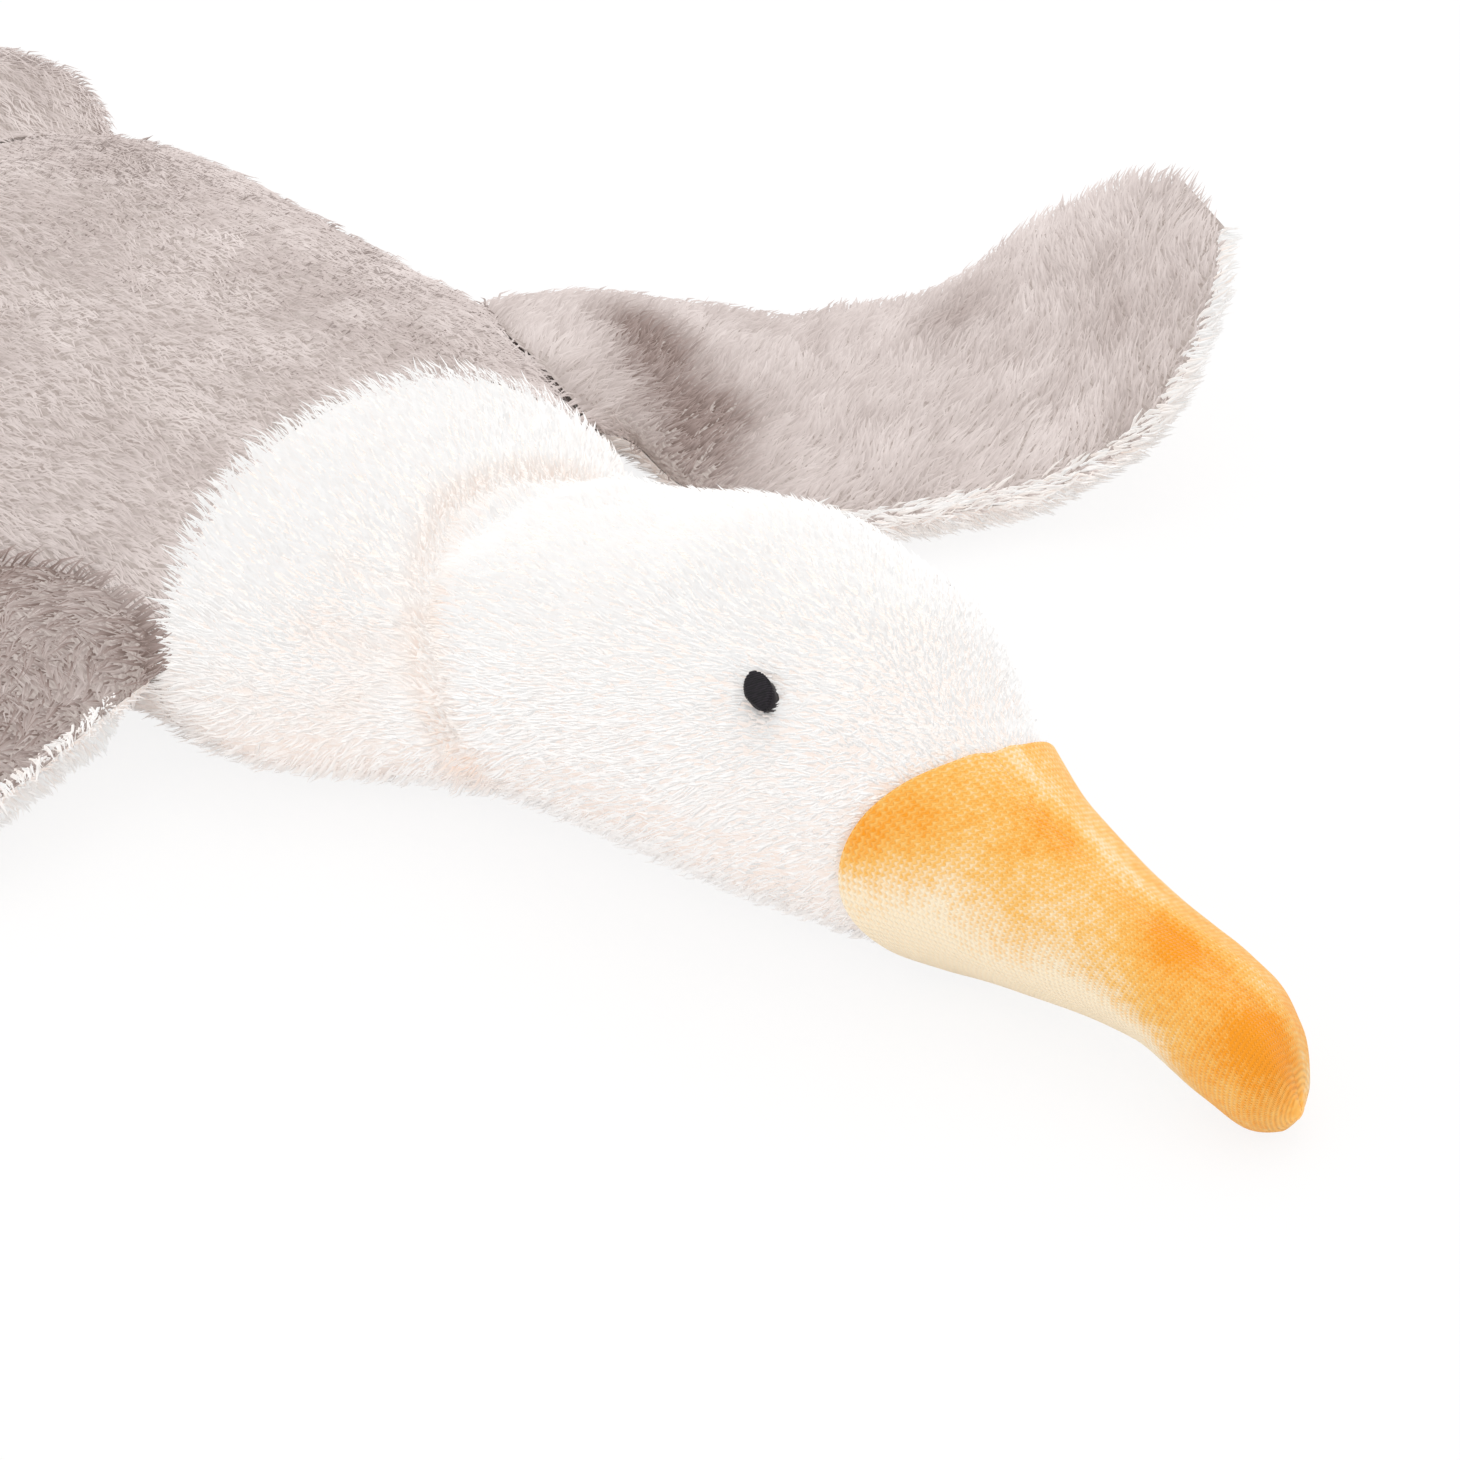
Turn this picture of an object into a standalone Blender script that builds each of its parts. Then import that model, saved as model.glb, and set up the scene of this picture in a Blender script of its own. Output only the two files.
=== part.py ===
"""Plush seagull heat pillow, lying on its belly with its wings spread.

Metres. +X points to the beak, +Y to the bird's left wing, +Z up. The origin is on the
surface that the bird lies on, under the middle of its belly.
"""

import math
from typing import NamedTuple

import bmesh
import bpy
import numpy as np

# Cloths and clearances
GAP = 0.0003  # clearance at a seam and between a filling and its cover
PLUSH = 0.0030  # plush cloth with its pile pressed down
VELOUR = 0.0016
LINING = 0.0010
STRIP = 0.0010  # a hook or loop tape
THREAD = 0.0012  # satin stitches standing on the head

# The trunk, from the tail's end to the beak's tip: places along X
TAIL_END_X = -0.160
TAIL_TIP_X = -0.154
TAIL_MID_X = -0.132
TAIL_BASE_X = -0.086
TAIL_SEAM_X = -0.064
RUMP_X = -0.046
BACK_X = -0.010
SHOULDER_X = 0.035
NECK_BASE_X = 0.066
THROAT_X = 0.092
CREASE_X = 0.117
NAPE_X = 0.134
CROWN_X = 0.178
BROW_X = 0.208
CHEEK_X = 0.232
BILL_BASE_X = 0.251
BILL_WAIST_X = 0.280
BILL_BULGE_X = 0.296
BILL_HOOK_X = 0.306
BILL_NOSE_X = 0.3120
BILL_TIP_X = 0.3140

# Widths and heights at those places
TAIL_END_WIDTH, TAIL_END_HEIGHT = 0.048, 0.011
TAIL_TIP_WIDTH, TAIL_TIP_HEIGHT = 0.082, 0.019
TAIL_MID_WIDTH, TAIL_MID_HEIGHT = 0.128, 0.040
TAIL_BASE_WIDTH, TAIL_BASE_HEIGHT = 0.154, 0.067
TAIL_SEAM_WIDTH, TAIL_SEAM_HEIGHT = 0.130, 0.055
RUMP_WIDTH, RUMP_HEIGHT = 0.140, 0.055
BODY_WIDTH, BODY_HEIGHT = 0.147, 0.055
SHOULDER_WIDTH, SHOULDER_HEIGHT = 0.141, 0.053
NECK_BASE_WIDTH, NECK_BASE_HEIGHT = 0.129, 0.052
THROAT_WIDTH, THROAT_HEIGHT = 0.119, 0.050
CREASE_WIDTH, CREASE_HEIGHT = 0.091, 0.047
NAPE_WIDTH, NAPE_HEIGHT = 0.084, 0.057
HEAD_WIDTH, HEAD_HEIGHT = 0.081, 0.072
BROW_WIDTH, BROW_HEIGHT = 0.071, 0.069
CHEEK_WIDTH, CHEEK_HEIGHT = 0.050, 0.054
BILL_BASE_WIDTH, BILL_BASE_HEIGHT = 0.037, 0.043
BILL_WAIST_WIDTH, BILL_WAIST_HEIGHT = 0.028, 0.031
BILL_BULGE_WIDTH, BILL_BULGE_HEIGHT = 0.0275, 0.0280
BILL_HOOK_WIDTH, BILL_HOOK_HEIGHT = 0.0225, 0.0240
BILL_NOSE_WIDTH, BILL_NOSE_HEIGHT = 0.012, 0.0165
BILL_TIP_WIDTH, BILL_TIP_HEIGHT = 0.003, 0.0100

# Seams that run round the trunk, where each crosses the right side, top, left side and underside
NECK_SEAM = (0.074, 0.062, 0.090, 0.080)
BEAK_SEAM = (0.2215, 0.236, 0.235, 0.240)

# The fold between neck and head
CREASE_LEAN = 0.010  # the fold lies this far back at the top and forward below
GATHER_DEPTH = 0.0014
GATHER_COUNT = 6
GATHER_REACH = 0.020

# Eyes
EYE_X = 0.198
EYE_UP = 35.5  # degrees above the head's widest line
HEAD_TIP = 10.5  # degrees that the head is tipped to its left, which raises the right eye
EYE_LENGTH = 0.0100
EYE_WIDTH = 0.0074
EYE_TILT = 28.0  # degrees that the oval leans back

# Wings
WING_LENGTH = 0.162
WING_ROOT_CHORD = 0.060
WING_CHORD = 0.081
WING_TIP_CHORD = 0.052
WING_ROOT_THICKNESS = 0.028
WING_THICKNESS = 0.019
WING_TIP_THICKNESS = 0.013
WING_ROOT_Z = 0.026
LEFT_ROOT_X = 0.064
LEFT_HEADINGS = (31.0, 52.0, 38.0, 27.0)  # degrees forward, at the root, a fifth, two fifths and the tip
LEFT_TIP_LIFT = 0.030
RIGHT_ROOT_X = 0.046
RIGHT_HEADINGS = (4.0, -24.0, -28.0, -20.0)
RIGHT_TIP_LIFT = 0.006
WING_SEAM = 0.0006  # clearance from the body along the wing's root

# Heat pack, its pocket and the belly's closure
PACK_LENGTH = 0.112
PACK_WIDTH = 0.090
PACK_THICKNESS = 0.020
PACK_EDGE = 0.0020  # the sewn edge round the pack
PACK_X = 0.002
POCKET_HEM = 0.004
CLOSURE_X = -0.030  # middle of the overlap of the two belly panels
OVERLAP = 0.020
REAR_EDGE_X = CLOSURE_X - OVERLAP / 2
FRONT_EDGE_X = CLOSURE_X + OVERLAP / 2
FLAP_RAMP = 0.012  # length over which the inner flap climbs onto the outer one
STRIP_LENGTH = 0.064
STRIP_WIDTH = 0.014

# Facets
UPPER_FACETS = 14
LOWER_FACETS = 10
BEAK_FACETS = 7
WING_FACETS = 8
PACK_FACETS = 10
FOLD_LINE = 6  # which of the head's lines runs in the fold


class Station(NamedTuple):
    """The trunk's cross-section at one place along X."""

    x: float
    width: float
    top: float
    side: float  # height of the widest line, where the upper and lower panels meet
    under: float = 0.0
    flat: float = 0.5  # share of the width that lies flat underneath
    fullness: float = 1.0  # 1 is a round back, less a flatter one
    lean: float = 0.0  # how far the middle lies off the X axis


STATIONS = (
    Station(TAIL_END_X, TAIL_END_WIDTH, TAIL_END_HEIGHT, 0.0055, flat=0.70),
    Station(TAIL_TIP_X, TAIL_TIP_WIDTH, TAIL_TIP_HEIGHT, 0.0080, flat=0.70),
    Station(TAIL_MID_X, TAIL_MID_WIDTH, TAIL_MID_HEIGHT, 0.0130, flat=0.70),
    Station(TAIL_BASE_X, TAIL_BASE_WIDTH, TAIL_BASE_HEIGHT, 0.0190, flat=0.60, lean=0.003),
    Station(TAIL_SEAM_X, TAIL_SEAM_WIDTH, TAIL_SEAM_HEIGHT, 0.0190, flat=0.60),
    Station(RUMP_X, RUMP_WIDTH, RUMP_HEIGHT, 0.0200, flat=0.60, fullness=0.90),
    Station(BACK_X, BODY_WIDTH, BODY_HEIGHT, 0.0220, flat=0.65, fullness=0.85, lean=-0.001),
    Station(SHOULDER_X, SHOULDER_WIDTH, SHOULDER_HEIGHT, 0.0225, flat=0.60, fullness=0.88, lean=-0.002),
    Station(NECK_BASE_X, NECK_BASE_WIDTH, NECK_BASE_HEIGHT, 0.0215, flat=0.55, fullness=0.92, lean=-0.002),
    Station(THROAT_X, THROAT_WIDTH, THROAT_HEIGHT, 0.0205, flat=0.50, lean=-0.006),
    Station(CREASE_X, CREASE_WIDTH, CREASE_HEIGHT, 0.0205, flat=0.40, lean=-0.005),
    Station(NAPE_X, NAPE_WIDTH, NAPE_HEIGHT, 0.0240, flat=0.25, lean=-0.002),
    Station(CROWN_X, HEAD_WIDTH, HEAD_HEIGHT, 0.0330, flat=0.22),
    Station(BROW_X, BROW_WIDTH, BROW_HEIGHT, 0.0320, flat=0.20),
    Station(CHEEK_X, CHEEK_WIDTH, CHEEK_HEIGHT, 0.0290, under=0.0020, flat=0.15, lean=-0.003),
    Station(BILL_BASE_X, BILL_BASE_WIDTH, BILL_BASE_HEIGHT, 0.0250, under=0.0045, flat=0.10, lean=-0.004),
    Station(BILL_WAIST_X, BILL_WAIST_WIDTH, BILL_WAIST_HEIGHT, 0.0205, under=0.0065, flat=0.0, lean=-0.004),
    Station(BILL_BULGE_X, BILL_BULGE_WIDTH, BILL_BULGE_HEIGHT, 0.0160, under=0.0025, flat=0.0, lean=-0.005),
    Station(BILL_HOOK_X, BILL_HOOK_WIDTH, BILL_HOOK_HEIGHT, 0.0125, under=0.0010, flat=0.0, lean=-0.007),
    Station(BILL_NOSE_X, BILL_NOSE_WIDTH, BILL_NOSE_HEIGHT, 0.0095, under=0.0028, flat=0.0, lean=-0.008),
    Station(BILL_TIP_X, BILL_TIP_WIDTH, BILL_TIP_HEIGHT, 0.0080, under=0.0060, flat=0.0, lean=-0.008),
)

CAVITY_FLOOR = PLUSH + 2 * STRIP + 3 * GAP  # how far the inner flap lies above the outer one
PACK_BOTTOM = CAVITY_FLOOR + PLUSH + GAP
PACK_MIDDLE = PACK_BOTTOM + PACK_THICKNESS / 2
THINNEST = 0.75  # a cover takes at most this share of what it wraps


def start():
    """Clears the scene and makes the collections for the bird and for its cutters."""
    for obj in list(bpy.data.objects):
        bpy.data.objects.remove(obj)
    made = []
    for name in ("seagull_heat_pillow", "cutters"):
        collection = bpy.data.collections.new(name)
        bpy.context.scene.collection.children.link(collection)
        made.append(collection)
    return made


def material(name, colour, roughness, metallic=0.0):
    """A Principled material of one colour."""
    made = bpy.data.materials.new(name)
    made.use_nodes = True
    shader = made.node_tree.nodes["Principled BSDF"]
    shader.inputs["Base Color"].default_value = (*colour, 1.0)
    shader.inputs["Roughness"].default_value = roughness
    shader.inputs["Metallic"].default_value = metallic
    made.diffuse_color = (*colour, 1.0)
    return made


def placed(name, bm, look):
    """Turns a bmesh into a named, smooth-shaded object of the bird."""
    bmesh.ops.recalc_face_normals(bm, faces=bm.faces)
    mesh = bpy.data.meshes.new(name)
    bm.to_mesh(mesh)
    bm.free()
    mesh.shade_smooth()
    mesh.set_sharp_from_angle(angle=math.radians(50))
    mesh.materials.append(look)
    obj = bpy.data.objects.new(name, mesh)
    BIRD.objects.link(obj)
    return obj


def thick_sheet(name, outer, inner, look, hipped=False):
    """A sheet of cloth: the closed body between two matching grids of points.

    A hipped sheet is folded along the diagonals towards its corners, like a hipped roof.
    """
    rows, columns = outer.shape[:2]
    bm = bmesh.new()
    faces = [[[bm.verts.new(p) for p in row] for row in grid] for grid in (outer, inner)]
    for skin in faces:
        for i in range(rows - 1):
            for j in range(columns - 1):
                corners = [skin[i][j], skin[i + 1][j], skin[i + 1][j + 1], skin[i][j + 1]]
                if not hipped:
                    bm.faces.new(corners)
                    continue
                if (2 * i + 2 > rows) != (2 * j + 2 > columns):
                    corners = corners[1:] + corners[:1]
                bm.faces.new(corners[:3])
                bm.faces.new((corners[0], corners[2], corners[3]))
    rim = [(i, 0) for i in range(rows - 1)]
    rim += [(rows - 1, j) for j in range(columns - 1)]
    rim += [(i, columns - 1) for i in range(rows - 1, 0, -1)]
    rim += [(0, j) for j in range(columns - 1, 0, -1)]
    for (i, j), (k, m) in zip(rim, rim[1:] + rim[:1]):
        bm.faces.new((faces[0][i][j], faces[0][k][m], faces[1][k][m], faces[1][i][j]))
    return placed(name, bm, look)


def ring_solid(name, rings, look):
    """The closed body through rings of points, with a fan of faces over both ends."""
    bm = bmesh.new()
    loops = [[bm.verts.new(p) for p in ring] for ring in rings]
    count = len(loops[0])
    for j in range(count):
        k = (j + 1) % count
        for one, other in zip(loops, loops[1:]):
            bm.faces.new((one[j], one[k], other[k], other[j]))
    for ring, loop in ((rings[0], loops[0]), (rings[-1], loops[-1])):
        middle = bm.verts.new(np.mean(ring, axis=0))
        for j in range(count):
            bm.faces.new((loop[j], loop[(j + 1) % count], middle))
    return placed(name, bm, look)


def smooth_through(xs, ys, x):
    """A curve through the points (xs, ys) that never swings past them."""
    xs, ys, x = np.asarray(xs, float), np.asarray(ys, float), np.asarray(x, float)
    steps = np.diff(xs)
    slopes = np.diff(ys) / steps
    tangents = np.zeros(len(xs))
    same_way = slopes[:-1] * slopes[1:] > 0
    total = slopes[:-1] + slopes[1:]
    tangents[1:-1] = np.where(same_way, 2 * slopes[:-1] * slopes[1:] / np.where(total == 0, 1, total), 0)
    tangents[0], tangents[-1] = slopes[0], slopes[-1]
    i = np.clip(np.searchsorted(xs, x, side="right") - 1, 0, len(xs) - 2)
    t = np.clip((x - xs[i]) / steps[i], 0, 1)
    rise = (1 + 2 * t) * (1 - t) ** 2 * ys[i] + t * t * (3 - 2 * t) * ys[i + 1]
    return rise + steps[i] * (t * (1 - t) ** 2 * tangents[i] - t * t * (1 - t) * tangents[i + 1])


def ease(t):
    """0 before 0, 1 after 1 and a smooth step between."""
    t = np.clip(t, 0, 1)
    return t * t * (3 - 2 * t)


def at(field, x):
    """One of the trunk's sizes at x."""
    return smooth_through([s.x for s in STATIONS], [getattr(s, field) for s in STATIONS], x)


def trunk(x, around, inset=0.0, gap=0.0, split=0.0):
    """Points on the trunk's surface, or inset from it.

    around runs from 0 at the right side over the back at 0.25 to the left side at 0.5 and
    under the belly at 0.75. gap parts the upper panel from the lower one, and split the left
    from the right.
    """
    x, around = np.broadcast_arrays(np.asarray(x, float), np.asarray(around, float))
    turn = 2 * np.pi * (around % 1.0)
    near_fold = np.exp(-(((x - CREASE_X) / GATHER_REACH) ** 2))
    place = x + CREASE_LEAN * np.sin(turn) * near_fold
    half, top, side = at("width", place) / 2, at("top", place), at("side", place)
    under, flat, fullness = at("under", place), at("flat", place), at("fullness", place)
    inset = inset + GATHER_DEPTH * near_fold * (0.5 - 0.5 * np.cos(GATHER_COUNT * turn))
    upper = np.sin(turn) > -1e-9
    reach = half - np.minimum(inset, THINNEST * half)
    rise = (top - side - gap / 2) - np.minimum(inset, THINNEST * (top - side))
    fall = (side - under - gap / 2) - np.minimum(inset, THINNEST * (side - under))
    sweep = np.sign(np.cos(turn)) * np.abs(np.cos(turn)) ** fullness
    y_upper = -reach * sweep
    z_upper = side + gap / 2 + rise * np.abs(np.sin(turn)) ** fullness
    # Underneath: a quarter of an ellipse down to the flat, then straight across
    across = np.abs(turn / (np.pi / 2) - 3)  # 1 at the sides, 0 in the middle
    corner = 1 - 0.45 * flat
    bend = np.clip((1 - across) / corner, 0, 1) * np.pi / 2
    level = np.minimum(flat * half, reach)
    y_corner = level + (reach - level) * np.cos(bend)
    y_lower = np.where(1 - across <= corner, y_corner, level * across / np.maximum(1 - corner, 1e-9))
    y_lower = y_lower * np.where(turn < 1.5 * np.pi, 1.0, -1.0)
    z_lower = side - gap / 2 - fall * np.sin(bend)
    y = np.where(upper, y_upper, y_lower)
    if split:
        y = np.where(split > 0, np.maximum(y, split / 2), np.minimum(y, split / 2))
    return np.stack([x, y + at("lean", place), np.where(upper, z_upper, z_lower)], axis=-1)


def seam_line(crossings, around):
    """X of a seam that runs round the trunk, from where it crosses right, top, left and underside."""
    turn = 2 * np.pi * (np.asarray(around, float) % 1.0)
    right, top, left, underside = crossings
    sides = (right + left) / 2 + (right - left) / 2 * np.cos(turn)
    lift = np.sin(turn)
    middle = (right + left) / 2
    return sides + np.where(lift > 0, top - middle, underside - middle) * lift**2


def trunk_panel(name, lines, around, look, cloth, lift=None, **parts):
    """A sheet of the trunk's cover through lines round it, raised inwards by lift(x)."""
    x = np.stack([np.broadcast_to(line, around.shape) for line in lines])
    raised = lift(x) if lift else 0.0
    outer = trunk(x, around, raised, **parts)
    inner = trunk(x, around, raised + cloth, **parts)
    return thick_sheet(name, outer, inner, look)


def lines_between(start, end, shares):
    """Lines round the trunk at shares of the way from start to end."""
    return [start + (end - start) * share for share in shares]


def upper_line():
    """Places round the upper half, from right to left."""
    return np.linspace(0, 0.5, UPPER_FACETS + 1)


def lower_line():
    """Places round the lower half, from left to right."""
    return np.linspace(0.5, 1.0, LOWER_FACETS + 1)


def whole_line():
    """Places round the whole trunk, each once."""
    return np.concatenate([upper_line()[:-1], lower_line()[:-1]])


def filling(name, lines, around, cloth, look, lift=None):
    """Stuffing between the first and the last of the lines, raised by lift(x) underneath."""
    x = np.stack([np.broadcast_to(line, around.shape) for line in lines])
    raised = np.where((around >= 0.5) | (around == 0), lift(x), 0.0) if lift else 0.0
    return ring_solid(name, trunk(x, around, cloth + GAP + raised), look)


def body_lines(around):
    """Lines round the body that its upper and lower covers share."""
    neck = seam_line(NECK_SEAM, around) - GAP
    flap_root = FRONT_EDGE_X + FLAP_RAMP
    straight = [TAIL_SEAM_X + GAP, (TAIL_SEAM_X + RUMP_X) / 2, RUMP_X, REAR_EDGE_X, FRONT_EDGE_X]
    straight += lines_between(FRONT_EDGE_X + 3 * GAP, flap_root, (0, 0.3, 0.7, 1.0))
    return straight + [(flap_root + SHOULDER_X) / 2, SHOULDER_X] + lines_between(SHOULDER_X, neck, (0.5, 1.0))


def raised_flap(x):
    """How far the inner belly flap and what lies on it are raised over the outer flap."""
    climbed = (FRONT_EDGE_X + FLAP_RAMP - x) / (FLAP_RAMP - 3 * GAP)
    return np.where(x > REAR_EDGE_X - GAP, CAVITY_FLOOR * ease(climbed), 0.0)


def body_covers():
    """The grey back and the two white belly panels that overlap at the closure."""
    trunk_panel("back_panel", body_lines(upper_line()), upper_line(), GREY, PLUSH, gap=GAP)
    lines = body_lines(lower_line())
    trunk_panel("belly_rear_panel", lines[:5], lower_line(), WHITE, PLUSH, gap=GAP)
    trunk_panel("belly_front_panel", lines[3:], lower_line(), WHITE, PLUSH, raised_flap, gap=GAP)


def closure_tapes():
    """The hook and loop tapes between the two belly flaps."""
    for name, level in (("loop_tape", PLUSH + GAP), ("hook_tape", PLUSH + STRIP + 2 * GAP)):
        bm = bmesh.new()
        bmesh.ops.create_cube(bm, size=1.0)
        bmesh.ops.scale(bm, vec=(STRIP_WIDTH, STRIP_LENGTH, STRIP), verts=bm.verts)
        tape = placed(name, bm, TAPE)
        tape.location = (CLOSURE_X, 0.0, level + STRIP / 2)


def pack_grid(lift, hem=0.0):
    """A grid over the heat pack's upper skin, lift above it, with a hem around it."""
    steps = np.linspace(-1, 1, PACK_FACETS + 1)
    along, across = PACK_LENGTH / 2 * steps, PACK_WIDTH / 2 * steps
    if hem:
        along = np.concatenate([[along[0] - hem], along, [along[-1] + hem]])
        across = np.concatenate([[across[0] - hem], across, [across[-1] + hem]])
    x, y = np.meshgrid(along, across, indexing="ij")
    far = 1 - (2 * x / PACK_LENGTH) ** 4, 1 - (2 * y / PACK_WIDTH) ** 4
    crown = (np.maximum(far[0], 0) * np.maximum(far[1], 0)) ** 0.45
    rise = PACK_EDGE / 2 + (PACK_THICKNESS - PACK_EDGE) / 2 * crown
    on_hem = (np.minimum(*far) < -1e-9) if hem else np.zeros_like(x, bool)
    z = np.where(on_hem, PACK_BOTTOM, PACK_MIDDLE + rise)
    return np.stack([x + PACK_X, y, z + lift], axis=-1)


def heat_pack():
    """The sealed cotton bag of cherry stones, plumpest in the middle, with a flat sewn edge."""
    upper = pack_grid(0.0)
    lower = upper.copy()
    lower[..., 2] = 2 * PACK_MIDDLE - upper[..., 2]
    thick_sheet("heat_pack", upper, lower, COTTON)


def pocket_lining():
    """The thin cotton over the heat pack, with its hem on the belly's inside."""
    outer, inner = pack_grid(GAP + LINING, POCKET_HEM), pack_grid(GAP, POCKET_HEM)
    thick_sheet("pocket_lining", outer, inner, COTTON, hipped=True)


def body_stuffing():
    """The wool from the tail's seam to the fold of the neck, cut to the pocket's form underneath."""
    around = whole_line()
    lines = body_lines(around) + head_lines(around)[1 : FOLD_LINE + 1]
    wool = filling("body_stuffing", lines, around, PLUSH, WOOL, raised_flap)
    lid = pack_grid(3 * GAP + LINING, POCKET_HEM + GAP)
    floor = lid.copy()
    floor[..., 2] = -PLUSH
    cutter = thick_sheet("pocket_space", lid, floor, WOOL, hipped=True)
    BIRD.objects.unlink(cutter)
    CUTTERS.objects.link(cutter)
    cutter.hide_render = True
    cutter.display_type = "WIRE"
    cut = wool.modifiers.new("pocket", "BOOLEAN")
    cut.operation = "DIFFERENCE"
    cut.object = cutter


def tail():
    """The grey and white tail behind its seam."""
    lines = lines_between(TAIL_SEAM_X - GAP, TAIL_END_X, (0, 0.16, 0.34, 0.52, 0.70, 0.84, 0.94, 1.0))
    trunk_panel("tail_upper_panel", lines, upper_line(), GREY, PLUSH, gap=GAP)
    trunk_panel("tail_lower_panel", lines, lower_line(), WHITE, PLUSH, gap=GAP)
    filling("tail_stuffing", lines[:-2], whole_line(), PLUSH, WOOL)


def head_lines(around):
    """Lines round the neck and head that their upper and lower covers share."""
    shares = (0, 0.09, 0.18, 0.26, 0.31, 0.35, 0.39, 0.43, 0.47, 0.52, 0.59, 0.67, 0.75, 0.83, 0.92, 1.0)
    starts = seam_line(NECK_SEAM, around) + GAP
    ends = seam_line(BEAK_SEAM, around) - GAP
    return lines_between(starts, ends, shares)


def neck_and_head():
    """The white cover of neck and head, in an upper and a lower panel, and the head's wool."""
    for name, around in (("head_upper_panel", upper_line()), ("head_lower_panel", lower_line())):
        trunk_panel(name, head_lines(around), around, WHITE, PLUSH, gap=GAP)
    around = whole_line()
    lines = head_lines(around)[FOLD_LINE:]
    lines[0] = lines[0] + GAP
    filling("head_stuffing", lines, around, PLUSH, WOOL)


def beak():
    """The orange beak: a left and a right half, sewn along the ridge, and its wool."""
    shares = (0, 0.08, 0.2, 0.34, 0.48, 0.6, 0.7, 0.79, 0.87, 0.93, 0.97, 1.0)
    for name, first, split in (("beak_left_panel", 0.25, GAP), ("beak_right_panel", 0.75, -GAP)):
        around = first + np.linspace(0, 0.5, 2 * BEAK_FACETS + 1)
        starts = seam_line(BEAK_SEAM, around) + GAP
        trunk_panel(name, lines_between(starts, BILL_TIP_X, shares), around, ORANGE, VELOUR, split=split)
    around = np.linspace(0, 1, 4 * BEAK_FACETS + 1)[:-1]
    lines = lines_between(seam_line(BEAK_SEAM, around) + 0.002, BILL_TIP_X, shares[:-2])
    filling("beak_stuffing", lines, around, VELOUR, WOOL)


def eye(name, around):
    """A satin-stitched oval that lies on the head's cover."""
    tilt = math.radians(EYE_TILT) * (1 if around < 0.25 else -1)
    girth = 2 * math.pi * HEAD_WIDTH / 2
    spokes = np.linspace(0, 2 * math.pi, 12, endpoint=False)
    rings = []
    for reach, lift in ((0.5, 0.0), (1.0, 0.0), (0.97, 0.5), (0.75, 0.85), (0.4, 1.0)):
        along = reach * EYE_WIDTH / 2 * np.cos(spokes)
        across = reach * EYE_LENGTH / 2 * np.sin(spokes)
        dx = along * math.cos(tilt) - across * math.sin(tilt)
        da = (along * math.sin(tilt) + across * math.cos(tilt)) / girth
        rings.append(trunk(EYE_X + dx, around + da, -GAP - lift * THREAD))
    ring_solid(name, rings, BLACK)


def side_of_body(x, z, hand):
    """How far out the body's left (hand 1) or right (hand -1) side lies at a place and height."""
    half, top, side = at("width", x) / 2, at("top", x), at("side", x)
    under, flat, power = at("under", x), at("flat", x), 2 / at("fullness", x)
    up = np.clip((z - side) / (top - side), 0, 0.98)
    down = np.clip((side - z) / (side - under), 0, 0.98)
    above = half * (1 - up**power) ** (1 / power)
    below = flat * half + (1 - flat) * half * np.sqrt(1 - down**2)
    return np.where(z >= side, above, below) + hand * at("lean", x)


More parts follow.
